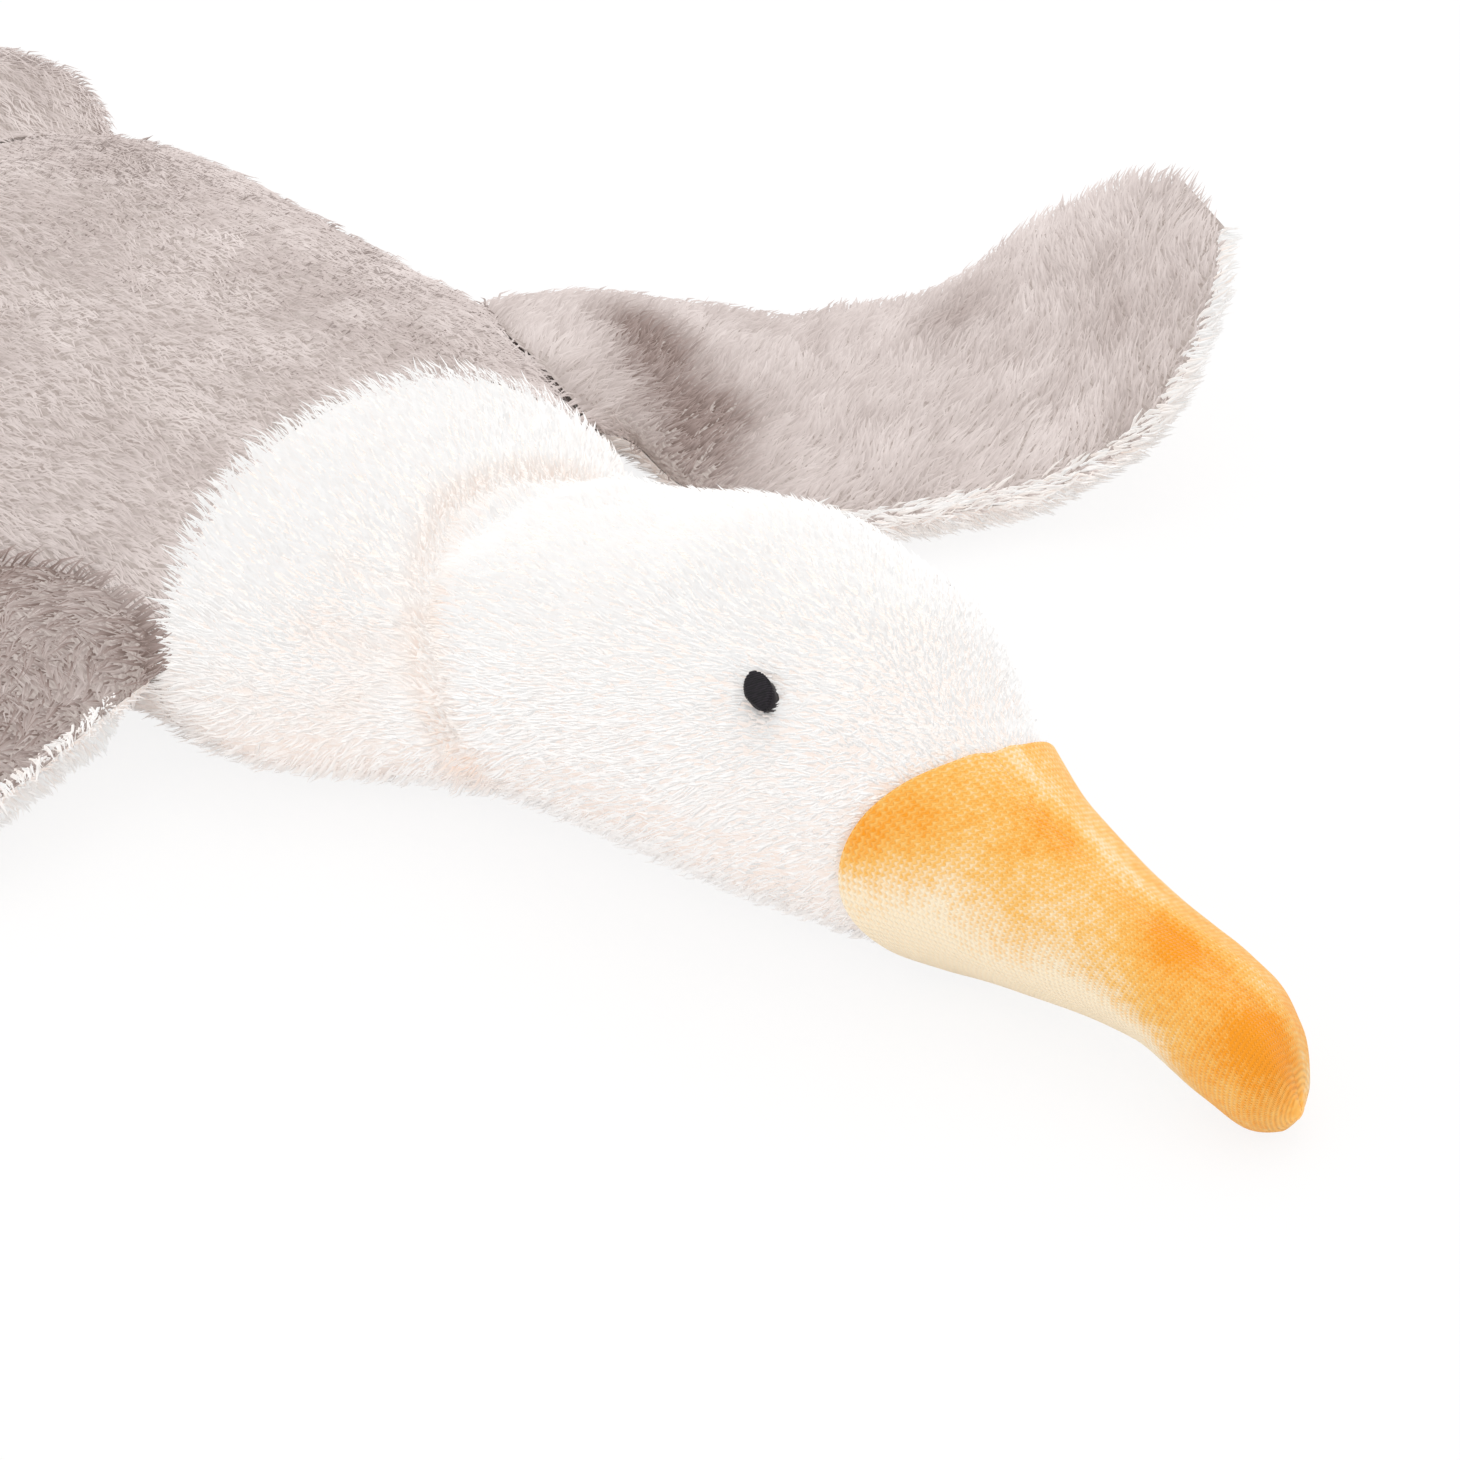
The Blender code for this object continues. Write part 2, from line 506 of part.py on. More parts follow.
def wing(s, around, hand, root_x, headings, lift, inset=0.0, gap=0.0):
    """Points on a wing: s from root to tip, around from the trailing edge over the top.

    hand is 1 for the left wing and -1 for the right one, which is the left one mirrored.
    """
    s, around = np.broadcast_arrays(np.asarray(s, float), np.asarray(around, float))
    steps = np.linspace(0, 1, 201)
    heading = np.radians(smooth_through((0, 0.2, 0.4, 1), headings, steps))
    rest = WING_THICKNESS / 2
    height = rest + (WING_ROOT_Z - rest) * (1 - ease(steps / 0.40)) + lift * ease((steps - 0.55) / 0.75) * 2
    slope = np.arcsin(np.clip(np.gradient(height, steps) / WING_LENGTH, -0.9, 0.9))
    ahead = np.sin(heading) * np.cos(slope) * WING_LENGTH
    out = np.cos(heading) * np.cos(slope) * WING_LENGTH

    def summed(rate):
        return np.concatenate([[0], np.cumsum((rate[1:] + rate[:-1]) / 2)]) * (steps[1] - steps[0])

    root_y = float(side_of_body(np.array(root_x), np.array(WING_ROOT_Z), hand))
    path = root_x + summed(ahead), root_y + summed(out), height
    chords = (WING_ROOT_CHORD, WING_CHORD, WING_CHORD, WING_TIP_CHORD, 0.45 * WING_TIP_CHORD)
    tip_edge = 0.4 * WING_TIP_THICKNESS
    depths = (WING_ROOT_THICKNESS, WING_THICKNESS, WING_THICKNESS, WING_TIP_THICKNESS, tip_edge)
    angle = 2 * np.pi * (around % 1.0)
    upward = np.where((around % 1.0) <= 0.5, 1, -1)

    def section(s):
        chord = smooth_through((0, 0.4, 0.72, 0.93, 1), chords, s)
        depth = smooth_through((0, 0.25, 0.55, 0.9, 1), depths, s)
        reach = chord / 2 - np.minimum(inset, THINNEST * chord / 2)
        rise = depth / 2 - gap / 2 - np.minimum(inset, THINNEST * depth / 2)
        turn, pitch = np.interp(s, steps, heading), np.interp(s, steps, slope)
        forward = -reach * np.cos(angle)
        up = upward * (rise * np.abs(np.sin(angle)) ** 0.9 + gap / 2)
        x = np.interp(s, steps, path[0]) + forward * np.cos(turn) - up * np.sin(turn) * np.sin(pitch)
        y = np.interp(s, steps, path[1]) - forward * np.sin(turn) - up * np.cos(turn) * np.sin(pitch)
        return np.stack([x, y, np.interp(s, steps, path[2]) + up * np.cos(pitch)], axis=-1)

    # The root is sewn to the body's side, and the wing runs out of that seam
    root = section(np.zeros_like(s))
    seam = root.copy()
    seam[..., 1] = side_of_body(root[..., 0], root[..., 2], hand) + WING_SEAM
    return (section(s) + (seam - root) * (1 - ease(s / 0.3))[..., None]) * (1, hand, 1)


def wing_set(side, root_x, headings, lift):
    """One wing: its grey upper panel, its white lower panel and its wool."""
    shape = (1 if side == "left" else -1, root_x, headings, lift)
    rows = np.array([0, 0.07, 0.14, 0.22, 0.31, 0.41, 0.51, 0.61, 0.70, 0.79, 0.87, 0.94, 1.0])[:, None]
    upper = np.linspace(0, 0.5, WING_FACETS + 1)[None, :]
    # The lower line starts just past the leading edge and ends just short of the trailing one
    lower = np.linspace(0.5 + 1e-6, 1 - 1e-6, WING_FACETS + 1)[None, :]
    for name, line, look in (("upper", upper, GREY), ("lower", lower, WHITE)):
        outer = wing(rows, line, *shape, 0.0, GAP)
        inner = wing(rows, line, *shape, PLUSH, GAP)
        thick_sheet(f"{side}_wing_{name}_panel", outer, inner, look)
    line = np.linspace(0, 1, 2 * WING_FACETS + 1)[None, :-1]
    ring_solid(f"{side}_wing_stuffing", wing(rows[1:-2], line, *shape, PLUSH + GAP), WOOL)


BIRD, CUTTERS = start()
GREY = material("grey_plush", (0.55, 0.49, 0.46), 0.95)
WHITE = material("white_plush", (0.93, 0.91, 0.88), 0.95)
ORANGE = material("orange_velour", (0.95, 0.55, 0.16), 0.85)
BLACK = material("black_thread", (0.015, 0.013, 0.018), 0.55)
WOOL = material("wool", (0.88, 0.84, 0.76), 1.0)
COTTON = material("cotton", (0.85, 0.80, 0.70), 0.9)
TAPE = material("tape", (0.90, 0.89, 0.86), 0.7)

body_covers()
closure_tapes()
heat_pack()
pocket_lining()
body_stuffing()
tail()
neck_and_head()
beak()
eye("right_eye", (EYE_UP + HEAD_TIP) / 360)
eye("left_eye", 0.5 - (EYE_UP - HEAD_TIP) / 360)
wing_set("left", LEFT_ROOT_X, LEFT_HEADINGS, LEFT_TIP_LIFT)
wing_set("right", RIGHT_ROOT_X, RIGHT_HEADINGS, RIGHT_TIP_LIFT)
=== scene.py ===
import itertools
import logging
import math
from collections.abc import Callable
from dataclasses import dataclass
from enum import Enum

import bmesh
import bpy
import numpy as np
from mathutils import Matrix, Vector


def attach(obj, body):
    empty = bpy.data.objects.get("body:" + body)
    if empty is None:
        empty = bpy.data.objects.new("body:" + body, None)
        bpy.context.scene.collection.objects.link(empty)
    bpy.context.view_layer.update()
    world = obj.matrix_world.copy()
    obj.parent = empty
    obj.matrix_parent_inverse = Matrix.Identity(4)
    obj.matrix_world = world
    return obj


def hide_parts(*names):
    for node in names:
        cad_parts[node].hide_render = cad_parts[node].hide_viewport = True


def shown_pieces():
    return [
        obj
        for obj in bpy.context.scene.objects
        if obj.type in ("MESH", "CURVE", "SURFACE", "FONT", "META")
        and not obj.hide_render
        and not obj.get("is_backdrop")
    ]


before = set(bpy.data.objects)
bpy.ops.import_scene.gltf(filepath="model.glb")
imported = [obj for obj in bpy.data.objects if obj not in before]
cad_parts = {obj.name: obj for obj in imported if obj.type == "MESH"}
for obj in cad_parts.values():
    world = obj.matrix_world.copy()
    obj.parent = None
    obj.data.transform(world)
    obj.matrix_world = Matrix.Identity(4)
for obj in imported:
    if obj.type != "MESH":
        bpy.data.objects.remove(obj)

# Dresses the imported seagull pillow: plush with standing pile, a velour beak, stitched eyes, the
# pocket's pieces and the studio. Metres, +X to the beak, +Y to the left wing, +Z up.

Array = np.ndarray
Colour = tuple[float, float, float]
Direction = tuple[float, float, float]
Spot = tuple[Direction, float, float]  # place, size and depth of colour
Rule = Callable[[Array], Array]  # a value for each place
Socket = bpy.types.NodeSocket

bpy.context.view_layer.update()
LOG = logging.getLogger("seagull")
BODY = "root"
MM = 0.001

SEAM_GAP = 0.3 * MM
CLOTH = 3.0 * MM  # plush with its pile pressed down
BACKING = 2.3 * MM  # how far the woven backing lies under the pile's face
VELOUR = 1.6 * MM
UNDER_BACKING = 1.2 * MM  # the same as BACKING, for the cloth underneath
UNDER_CLOTH = 1.8 * MM
INNER_REACH = 0.3  # how far a sheet's inner face stands out at a closed end, against its outer one
FLOOR_CLEAR = 0.7 * MM  # pile nearer to the floor than this is pressed flat
LEAST_FACING = 0.45  # cosine of how far a strand's shading may turn from its faces
WHOLE_TURN = 2 * math.pi


def ease(t: Array) -> Array:
    """0 before 0, 1 after 1 and a smooth step between."""
    t = np.clip(t, 0, 1)
    return t * t * (3 - 2 * t)


def unit(vectors: Array) -> Array:
    """The vectors at length 1."""
    return vectors / np.maximum(np.linalg.norm(vectors, axis=-1, keepdims=True), 1e-12)


def smooth_through(xs: Array, ys: Array, x: Array) -> Array:
    """A curve through points that never swings past them.

    Args:
        xs: The points' places, rising.
        ys: The points' values.
        x: Where the curve is wanted.

    Returns:
        The curve's values at x.
    """
    xs, ys, x = np.asarray(xs, float), np.asarray(ys, float), np.asarray(x, float)
    steps = np.diff(xs)
    slopes = np.diff(ys) / steps
    tangents = np.zeros(len(xs))
    same_way = slopes[:-1] * slopes[1:] > 0
    total = slopes[:-1] + slopes[1:]
    mean = 2 * slopes[:-1] * slopes[1:] / np.where(total == 0, 1, total)
    tangents[1:-1] = np.where(same_way, mean, 0)
    tangents[0], tangents[-1] = slopes[0], slopes[-1]
    i = np.clip(np.searchsorted(xs, x, side="right") - 1, 0, len(xs) - 2)
    t = np.clip((x - xs[i]) / steps[i], 0, 1)
    rise = (1 + 2 * t) * (1 - t) ** 2 * ys[i] + t * t * (3 - 2 * t) * ys[i + 1]
    return rise + steps[i] * (t * (1 - t) ** 2 * tangents[i] - t * t * (1 - t) * tangents[i + 1])


def lattice_noise(points: Array, cell: float, seed: int) -> Array:
    """Smooth noise from -1 to 1.

    Args:
        points: Places in metres, with X, Y and Z last.
        cell: Size of the bumps in metres.
        seed: Which noise.

    Returns:
        One value for each place.
    """
    scaled = points / cell
    low = np.floor(scaled).astype(np.int64)
    part = scaled - low
    soft = part * part * (3 - 2 * part)
    total = np.zeros(points.shape[:-1])
    for corner in itertools.product((0, 1), repeat=3):
        key = low + np.array(corner)
        mixed = key[..., 0] * 374761393 + key[..., 1] * 668265263 + key[..., 2] * 1440662683 + seed * 97531
        mixed = (mixed ^ (mixed >> 13)) * 1274126177 & 0xFFFFFFFF
        mixed = mixed ^ (mixed >> 16)
        weight = np.prod(np.where(np.array(corner), soft, 1 - soft), axis=-1)
        total += ((mixed & 0xFFFF) / 32767.5 - 1) * weight
    return total


@dataclass(frozen=True)
class Fold:
    """A crease that runs along a path on the cloth, with a raised bank on both sides."""

    path: tuple[Direction, ...]
    depth: float
    width: float
    bank: float = 0.0

    BANK_PLACE = 2.2  # in the crease's widths

    def distance(self, points: Array) -> Array:
        """How far the points are from the path."""
        nearest = np.full(points.shape[:-1], 1e9)
        for start, end in zip(self.path, self.path[1:]):
            a, along = np.array(start), np.array(end) - np.array(start)
            share = np.clip((points - a) @ along / (along @ along), 0, 1)
            away = np.linalg.norm(points - a - share[..., None] * along, axis=-1)
            nearest = np.minimum(nearest, away)
        return nearest

    def dent(self, points: Array) -> Array:
        """How deep the crease is at the points, less than 0 on its banks."""
        away = self.distance(points) / self.width
        return self.depth * np.exp(-(away**2)) - self.bank * np.exp(-((away - self.BANK_PLACE) ** 2))


@dataclass(frozen=True)
class Relief:
    """The lumps and creases of a stuffed form."""

    lumps: tuple[tuple[float, float, int], ...] = ((0.034, 0.0011, 3), (0.013, 0.0005, 4))
    folds: tuple[Fold, ...] = ()

    def depth(self, points: Array) -> Array:
        """How far the cloth lies under its plain form."""
        total = np.zeros(points.shape[:-1])
        for cell, height, seed in self.lumps:
            total -= height * lattice_noise(points, cell, seed)
        for fold in self.folds:
            total += fold.dent(points)
        return total


class Trunk:
    """The form that runs from the tail's end to the beak's tip."""

    FIELDS = ("x", "width", "top", "side", "under", "flat", "fullness", "lean")
    STATIONS = (
        (-0.160, 0.048, 0.011, 0.0055, 0.0, 0.70, 1.0, 0.0),
        (-0.154, 0.082, 0.019, 0.0080, 0.0, 0.70, 1.0, 0.0),
        (-0.132, 0.128, 0.040, 0.0130, 0.0, 0.70, 1.0, 0.0),
        (-0.086, 0.154, 0.067, 0.0190, 0.0, 0.60, 1.0, 0.003),
        (-0.064, 0.130, 0.055, 0.0190, 0.0, 0.60, 1.0, 0.0),
        (-0.046, 0.140, 0.055, 0.0200, 0.0, 0.60, 0.90, 0.0),
        (-0.010, 0.147, 0.055, 0.0220, 0.0, 0.65, 0.85, -0.001),
        (0.035, 0.141, 0.053, 0.0225, 0.0, 0.60, 0.88, -0.002),
        (0.066, 0.129, 0.052, 0.0215, 0.0, 0.55, 0.92, -0.002),
        (0.092, 0.119, 0.050, 0.0205, 0.0, 0.50, 1.0, -0.006),
        (0.117, 0.091, 0.047, 0.0205, 0.0, 0.40, 1.0, -0.005),
        (0.134, 0.084, 0.057, 0.0240, 0.0, 0.25, 1.0, -0.002),
        (0.178, 0.081, 0.072, 0.0330, 0.0, 0.22, 1.0, 0.0),
        (0.208, 0.071, 0.069, 0.0320, 0.0, 0.20, 1.0, 0.0),
        (0.232, 0.050, 0.054, 0.0290, 0.0020, 0.15, 1.0, -0.003),
        (0.251, 0.037, 0.043, 0.0250, 0.0045, 0.10, 1.0, -0.004),
        (0.280, 0.028, 0.031, 0.0205, 0.0065, 0.0, 1.0, -0.004),
        (0.296, 0.0275, 0.0280, 0.0160, 0.0025, 0.0, 1.0, -0.005),
        (0.306, 0.0225, 0.0240, 0.0125, 0.0010, 0.0, 1.0, -0.007),
        (0.3120, 0.012, 0.0165, 0.0095, 0.0028, 0.0, 1.0, -0.008),
        (0.3140, 0.003, 0.0100, 0.0080, 0.0060, 0.0, 1.0, -0.008),
    )
    CREASE_X = 0.117
    CREASE_LEAN = 0.010
    GATHER_DEPTH = 0.0014
    GATHER_COUNT = 6
    GATHER_REACH = 0.020
    THINNEST = 0.75  # the most that an inset takes of half a width or height
    CORNER = 0.45  # how much of a half's turn its flat underside takes up, against the flat's width

    def __init__(self) -> None:
        """Turns the stations into one list for each field."""
        self.columns = dict(zip(self.FIELDS, np.array(self.STATIONS).T))

    def at(self, name: str, x: Array) -> Array:
        """One of the trunk's sizes at x."""
        return smooth_through(self.columns["x"], self.columns[name], x)

    def points(
        self, x: Array, around: Array, inset: Array = 0.0, gap: float = 0.0, split: float = 0.0
    ) -> Array:
        """Points on the trunk's surface, or inset from it.

        Args:
            x: Places along the trunk.
            around: Places round it, from 0 at the right side over the back to 0.5 at the left one.
            inset: How far inside the surface.
            gap: Gap between the upper and the lower half.
            split: Gap between the left and the right half, under 0 for the right one.

        Returns:
            The points, with X, Y and Z last.
        """
        x, around = np.broadcast_arrays(np.asarray(x, float), np.asarray(around, float))
        turn = WHOLE_TURN * (around % 1.0)
        near_fold = np.exp(-(((x - self.CREASE_X) / self.GATHER_REACH) ** 2))
        place = x + self.CREASE_LEAN * np.sin(turn) * near_fold
        half, top, side = self.at("width", place) / 2, self.at("top", place), self.at("side", place)
        under, flat, fullness = self.at("under", place), self.at("flat", place), self.at("fullness", place)
        inset = inset + self.GATHER_DEPTH * near_fold * (0.5 - 0.5 * np.cos(self.GATHER_COUNT * turn))
        upper = np.sin(turn) > -1e-9
        reach = half - np.minimum(inset, self.THINNEST * half)
        rise = (top - side - gap / 2) - np.minimum(inset, self.THINNEST * (top - side))
        fall = (side - under - gap / 2) - np.minimum(inset, self.THINNEST * (side - under))
        y_upper = -reach * np.sign(np.cos(turn)) * np.abs(np.cos(turn)) ** fullness
        z_upper = side + gap / 2 + rise * np.abs(np.sin(turn)) ** fullness
        across = np.abs(turn / (np.pi / 2) - 3)
        corner = 1 - self.CORNER * flat
        bend = np.clip((1 - across) / corner, 0, 1) * np.pi / 2
        level = np.minimum(flat * half, reach)
        y_corner = level + (reach - level) * np.cos(bend)
        y_lower = np.where(1 - across <= corner, y_corner, level * across / np.maximum(1 - corner, 1e-9))
        y_lower = y_lower * np.where(turn < 1.5 * np.pi, 1.0, -1.0)
        z_lower = side - gap / 2 - fall * np.sin(bend)
        y = np.where(upper, y_upper, y_lower)
        if split:
            y = np.where(split > 0, np.maximum(y, split / 2), np.minimum(y, split / 2))
        return np.stack([x, y + self.at("lean", place), np.where(upper, z_upper, z_lower)], axis=-1)

    def side_of_body(self, x: Array, z: Array, hand: int) -> Array:
        """How far out the body's left (hand 1) or right (hand -1) side lies at a place and height."""
        half, top, side = self.at("width", x) / 2, self.at("top", x), self.at("side", x)
        under, flat, power = self.at("under", x), self.at("flat", x), 2 / self.at("fullness", x)
        up = np.clip((z - side) / (top - side), 0, 0.98)
        down = np.clip((side - z) / (side - under), 0, 0.98)
        above = half * (1 - up**power) ** (1 / power)
        below = flat * half + (1 - flat) * half * np.sqrt(1 - down**2)
        return np.where(z >= side, above, below) + hand * self.at("lean", x)


TRUNK = Trunk()


@dataclass(frozen=True)
class Seam:
    """A seam round the trunk, by where it crosses the right side, top, left side and underside."""

    right: float
    top: float
    left: float
    underside: float

    def at(self, around: Array) -> Array:
        """The seam's place along the trunk at places round it."""
        turn = WHOLE_TURN * (np.asarray(around, float) % 1.0)
        middle = (self.right + self.left) / 2
        sides = middle + (self.right - self.left) / 2 * np.cos(turn)
        lift = np.sin(turn)
        return sides + np.where(lift > 0, self.top - middle, self.underside - middle) * lift**2


def beside(seam: Seam, gap: float) -> Rule:
    """A seam's line, moved along the trunk by a gap."""
    return lambda around: seam.at(around) + gap


def straight(x: float) -> Rule:
    """A line straight round the trunk at x."""
    return lambda around: np.full_like(around, x)


NECK_SEAM = Seam(0.074, 0.062, 0.090, 0.080)
BEAK_SEAM = Seam(0.2215, 0.236, 0.235, 0.240)
TAIL_SEAM = Seam(-0.064, -0.064, -0.064, -0.064)


class Patch:
    """Part of the bird's surface, with places from 0 to 1 both ways."""

    outward = 1.0

    def points(self, u: Array, v: Array, inset: Array = 0.0) -> Array:
        """Points on the patch, or inset from it."""
        raise NotImplementedError

    def framed(self, u: Array, v: Array, inset: float) -> tuple[Array, Array]:
        """Points on the patch and the directions out of it.

        Args:
            u: Places one way.
            v: Places the other way.
            inset: How far inside the surface.

        Returns:
            The points and their outward directions.
        """
        step = 2e-3
        on, back = np.minimum(u + step, 1), np.maximum(u - step, 0)
        along = self.points(on, v, inset) - self.points(back, v, inset)
        on, back = np.minimum(v + step, 1), np.maximum(v - step, 0)
        across = self.points(u, on, inset) - self.points(u, back, inset)
        return self.points(u, v, inset), unit(np.cross(along, across)) * self.outward

    def scattered(self, count: int, rng: np.random.Generator, inset: float) -> tuple[Array, Array]:
        """Places spread evenly over the patch by area.

        Args:
            count: How many places.
            rng: Source of the scatter.
            inset: How far inside the surface.

        Returns:
            The places both ways.
        """
        cells = 140
        edges = np.linspace(0, 1, cells + 1)
        grid = self.points(edges[:, None], edges[None, :], inset)
        one, other = grid[1:, :-1] - grid[:-1, :-1], grid[:-1, 1:] - grid[:-1, :-1]
        area = np.linalg.norm(np.cross(one, other), axis=-1)
        area[1::2] = area[1::2, ::-1]  # back and forth, so that the list follows the cloth
        total = np.cumsum(area.ravel())
        picked = np.searchsorted(total / total[-1], (np.arange(count) + rng.random(count)) / count)
        i, j = np.divmod(np.minimum(picked, cells * cells - 1), cells)
        j = np.where(i % 2, cells - 1 - j, j)
        return (i + rng.random(count)) / cells, (j + rng.random(count)) / cells


@dataclass
class TrunkPatch(Patch):
    """A panel of the trunk between two seams."""

    start: Rule
    end: Rule
    first: float
    last: float
    relief: Relief = Relief()
    gap: float = SEAM_GAP
    split: float = 0.0
    lift: Callable[[Array, Array], Array] | None = None

    def points(self, u: Array, v: Array, inset: Array = 0.0) -> Array:
        """Points on the panel, or inset from it."""
        u, v = np.broadcast_arrays(np.asarray(u, float), np.asarray(v, float))
        around = self.first + (self.last - self.first) * v
        start, end = self.start(around), self.end(around)
        x = start + (end - start) * u
        deeper = inset + self.relief.depth(TRUNK.points(x, around))
        if self.lift:
            deeper = deeper + self.lift(x, around)
        return TRUNK.points(x, around, deeper, self.gap, self.split)


class Side(Enum):
    """The bird's two sides, with +1 for the one towards +Y."""

    LEFT = 1
    RIGHT = -1


@dataclass
class WingForm:
    """The stuffed form of one wing, from the body's side to the tip."""

    side: Side
    root_x: float
    headings: tuple[float, float, float, float]
    tip_lift: float
    length: float = 0.162
    chords: tuple[float, ...] = (0.060, 0.081, 0.081, 0.052, 0.0234)
    depths: tuple[float, ...] = (0.028, 0.019, 0.019, 0.013, 0.0052)
    root_z: float = 0.026
    seam: float = 0.0006

    def __post_init__(self) -> None:
        """Follows the wing's middle line from the body to the tip."""
        self.steps = np.linspace(0, 1, 201)
        self.heading = np.radians(smooth_through((0, 0.2, 0.4, 1), self.headings, self.steps))
        rest = self.depths[1] / 2
        height = rest + (self.root_z - rest) * (1 - ease(self.steps / 0.40))
        height = height + self.tip_lift * ease((self.steps - 0.55) / 0.75) * 2
        self.slope = np.arcsin(np.clip(np.gradient(height, self.steps) / self.length, -0.9, 0.9))
        ahead = np.sin(self.heading) * np.cos(self.slope) * self.length
        out = np.cos(self.heading) * np.cos(self.slope) * self.length
        root_y = float(TRUNK.side_of_body(np.array(self.root_x), np.array(self.root_z), self.side.value))
        self.path = (self.root_x + self.summed(ahead), root_y + self.summed(out), height)

    def summed(self, rate: Array) -> Array:
        """The running total of a rate along the wing."""
        return np.concatenate([[0], np.cumsum((rate[1:] + rate[:-1]) / 2)]) * (self.steps[1] - self.steps[0])

    def section(self, s: Array, around: Array, inset: Array, gap: float) -> Array:
        """Points round the wing before its root is sewn on, on the left side.

        Args:
            s: Places from root to tip.
            around: Places round the wing, from the trailing edge over the top.
            inset: How far inside the surface.
            gap: Gap between the upper and the lower half.

        Returns:
            The points, with X, Y and Z last.
        """
        turn_round = WHOLE_TURN * (around % 1.0)
        upward = np.where((around % 1.0) <= 0.5, 1, -1)
        chord = smooth_through((0, 0.4, 0.72, 0.93, 1), self.chords, s)
        depth = smooth_through((0, 0.25, 0.55, 0.9, 1), self.depths, s)
        reach = chord / 2 - np.minimum(inset, TRUNK.THINNEST * chord / 2)
        rise = depth / 2 - gap / 2 - np.minimum(inset, TRUNK.THINNEST * depth / 2)
        turn, pitch = np.interp(s, self.steps, self.heading), np.interp(s, self.steps, self.slope)
        forward = -reach * np.cos(turn_round)
        up = upward * (rise * np.abs(np.sin(turn_round)) ** 0.9 + gap / 2)
        x, y, z = (np.interp(s, self.steps, path) for path in self.path)
        x = x + forward * np.cos(turn) - up * np.sin(turn) * np.sin(pitch)
        y = y - forward * np.sin(turn) - up * np.cos(turn) * np.sin(pitch)
        return np.stack([x, y, z + up * np.cos(pitch)], axis=-1)

    def points(self, s: Array, around: Array, inset: Array = 0.0, gap: float = SEAM_GAP) -> Array:
        """Points on the wing.

        Args:
            s: Places from root to tip.
            around: Places round the wing, from the trailing edge over the top.
            inset: How far inside the surface.
            gap: Gap between the upper and the lower half.

        Returns:
            The points, with X, Y and Z last.
        """
        s, around, inset = np.broadcast_arrays(np.asarray(s, float), np.asarray(around, float), inset)
        root = self.section(np.zeros_like(s), around, inset, gap)
        sewn = root.copy()
        sewn[..., 1] = TRUNK.side_of_body(root[..., 0], root[..., 2], self.side.value) + self.seam
        moved = (sewn - root) * (1 - ease(s / 0.3))[..., None]
        return (self.section(s, around, inset, gap) + moved) * (1, self.side.value, 1)


@dataclass
class WingPatch(Patch):
    """The upper or the lower panel of a wing."""

    form: WingForm
    first: float
    last: float
    relief: Relief = Relief()

    def __post_init__(self) -> None:
        """Turns the outward direction the right way for the wing's side."""
        self.outward = -1.0 * self.form.side.value

    def points(self, u: Array, v: Array, inset: Array = 0.0) -> Array:
        """Points on the panel, or inset from it."""
        u, v = np.broadcast_arrays(np.asarray(u, float), np.asarray(v, float))
        around = self.first + (self.last - self.first) * v
        deeper = inset + self.relief.depth(self.form.points(u, around))
        return self.form.points(u, around, deeper)


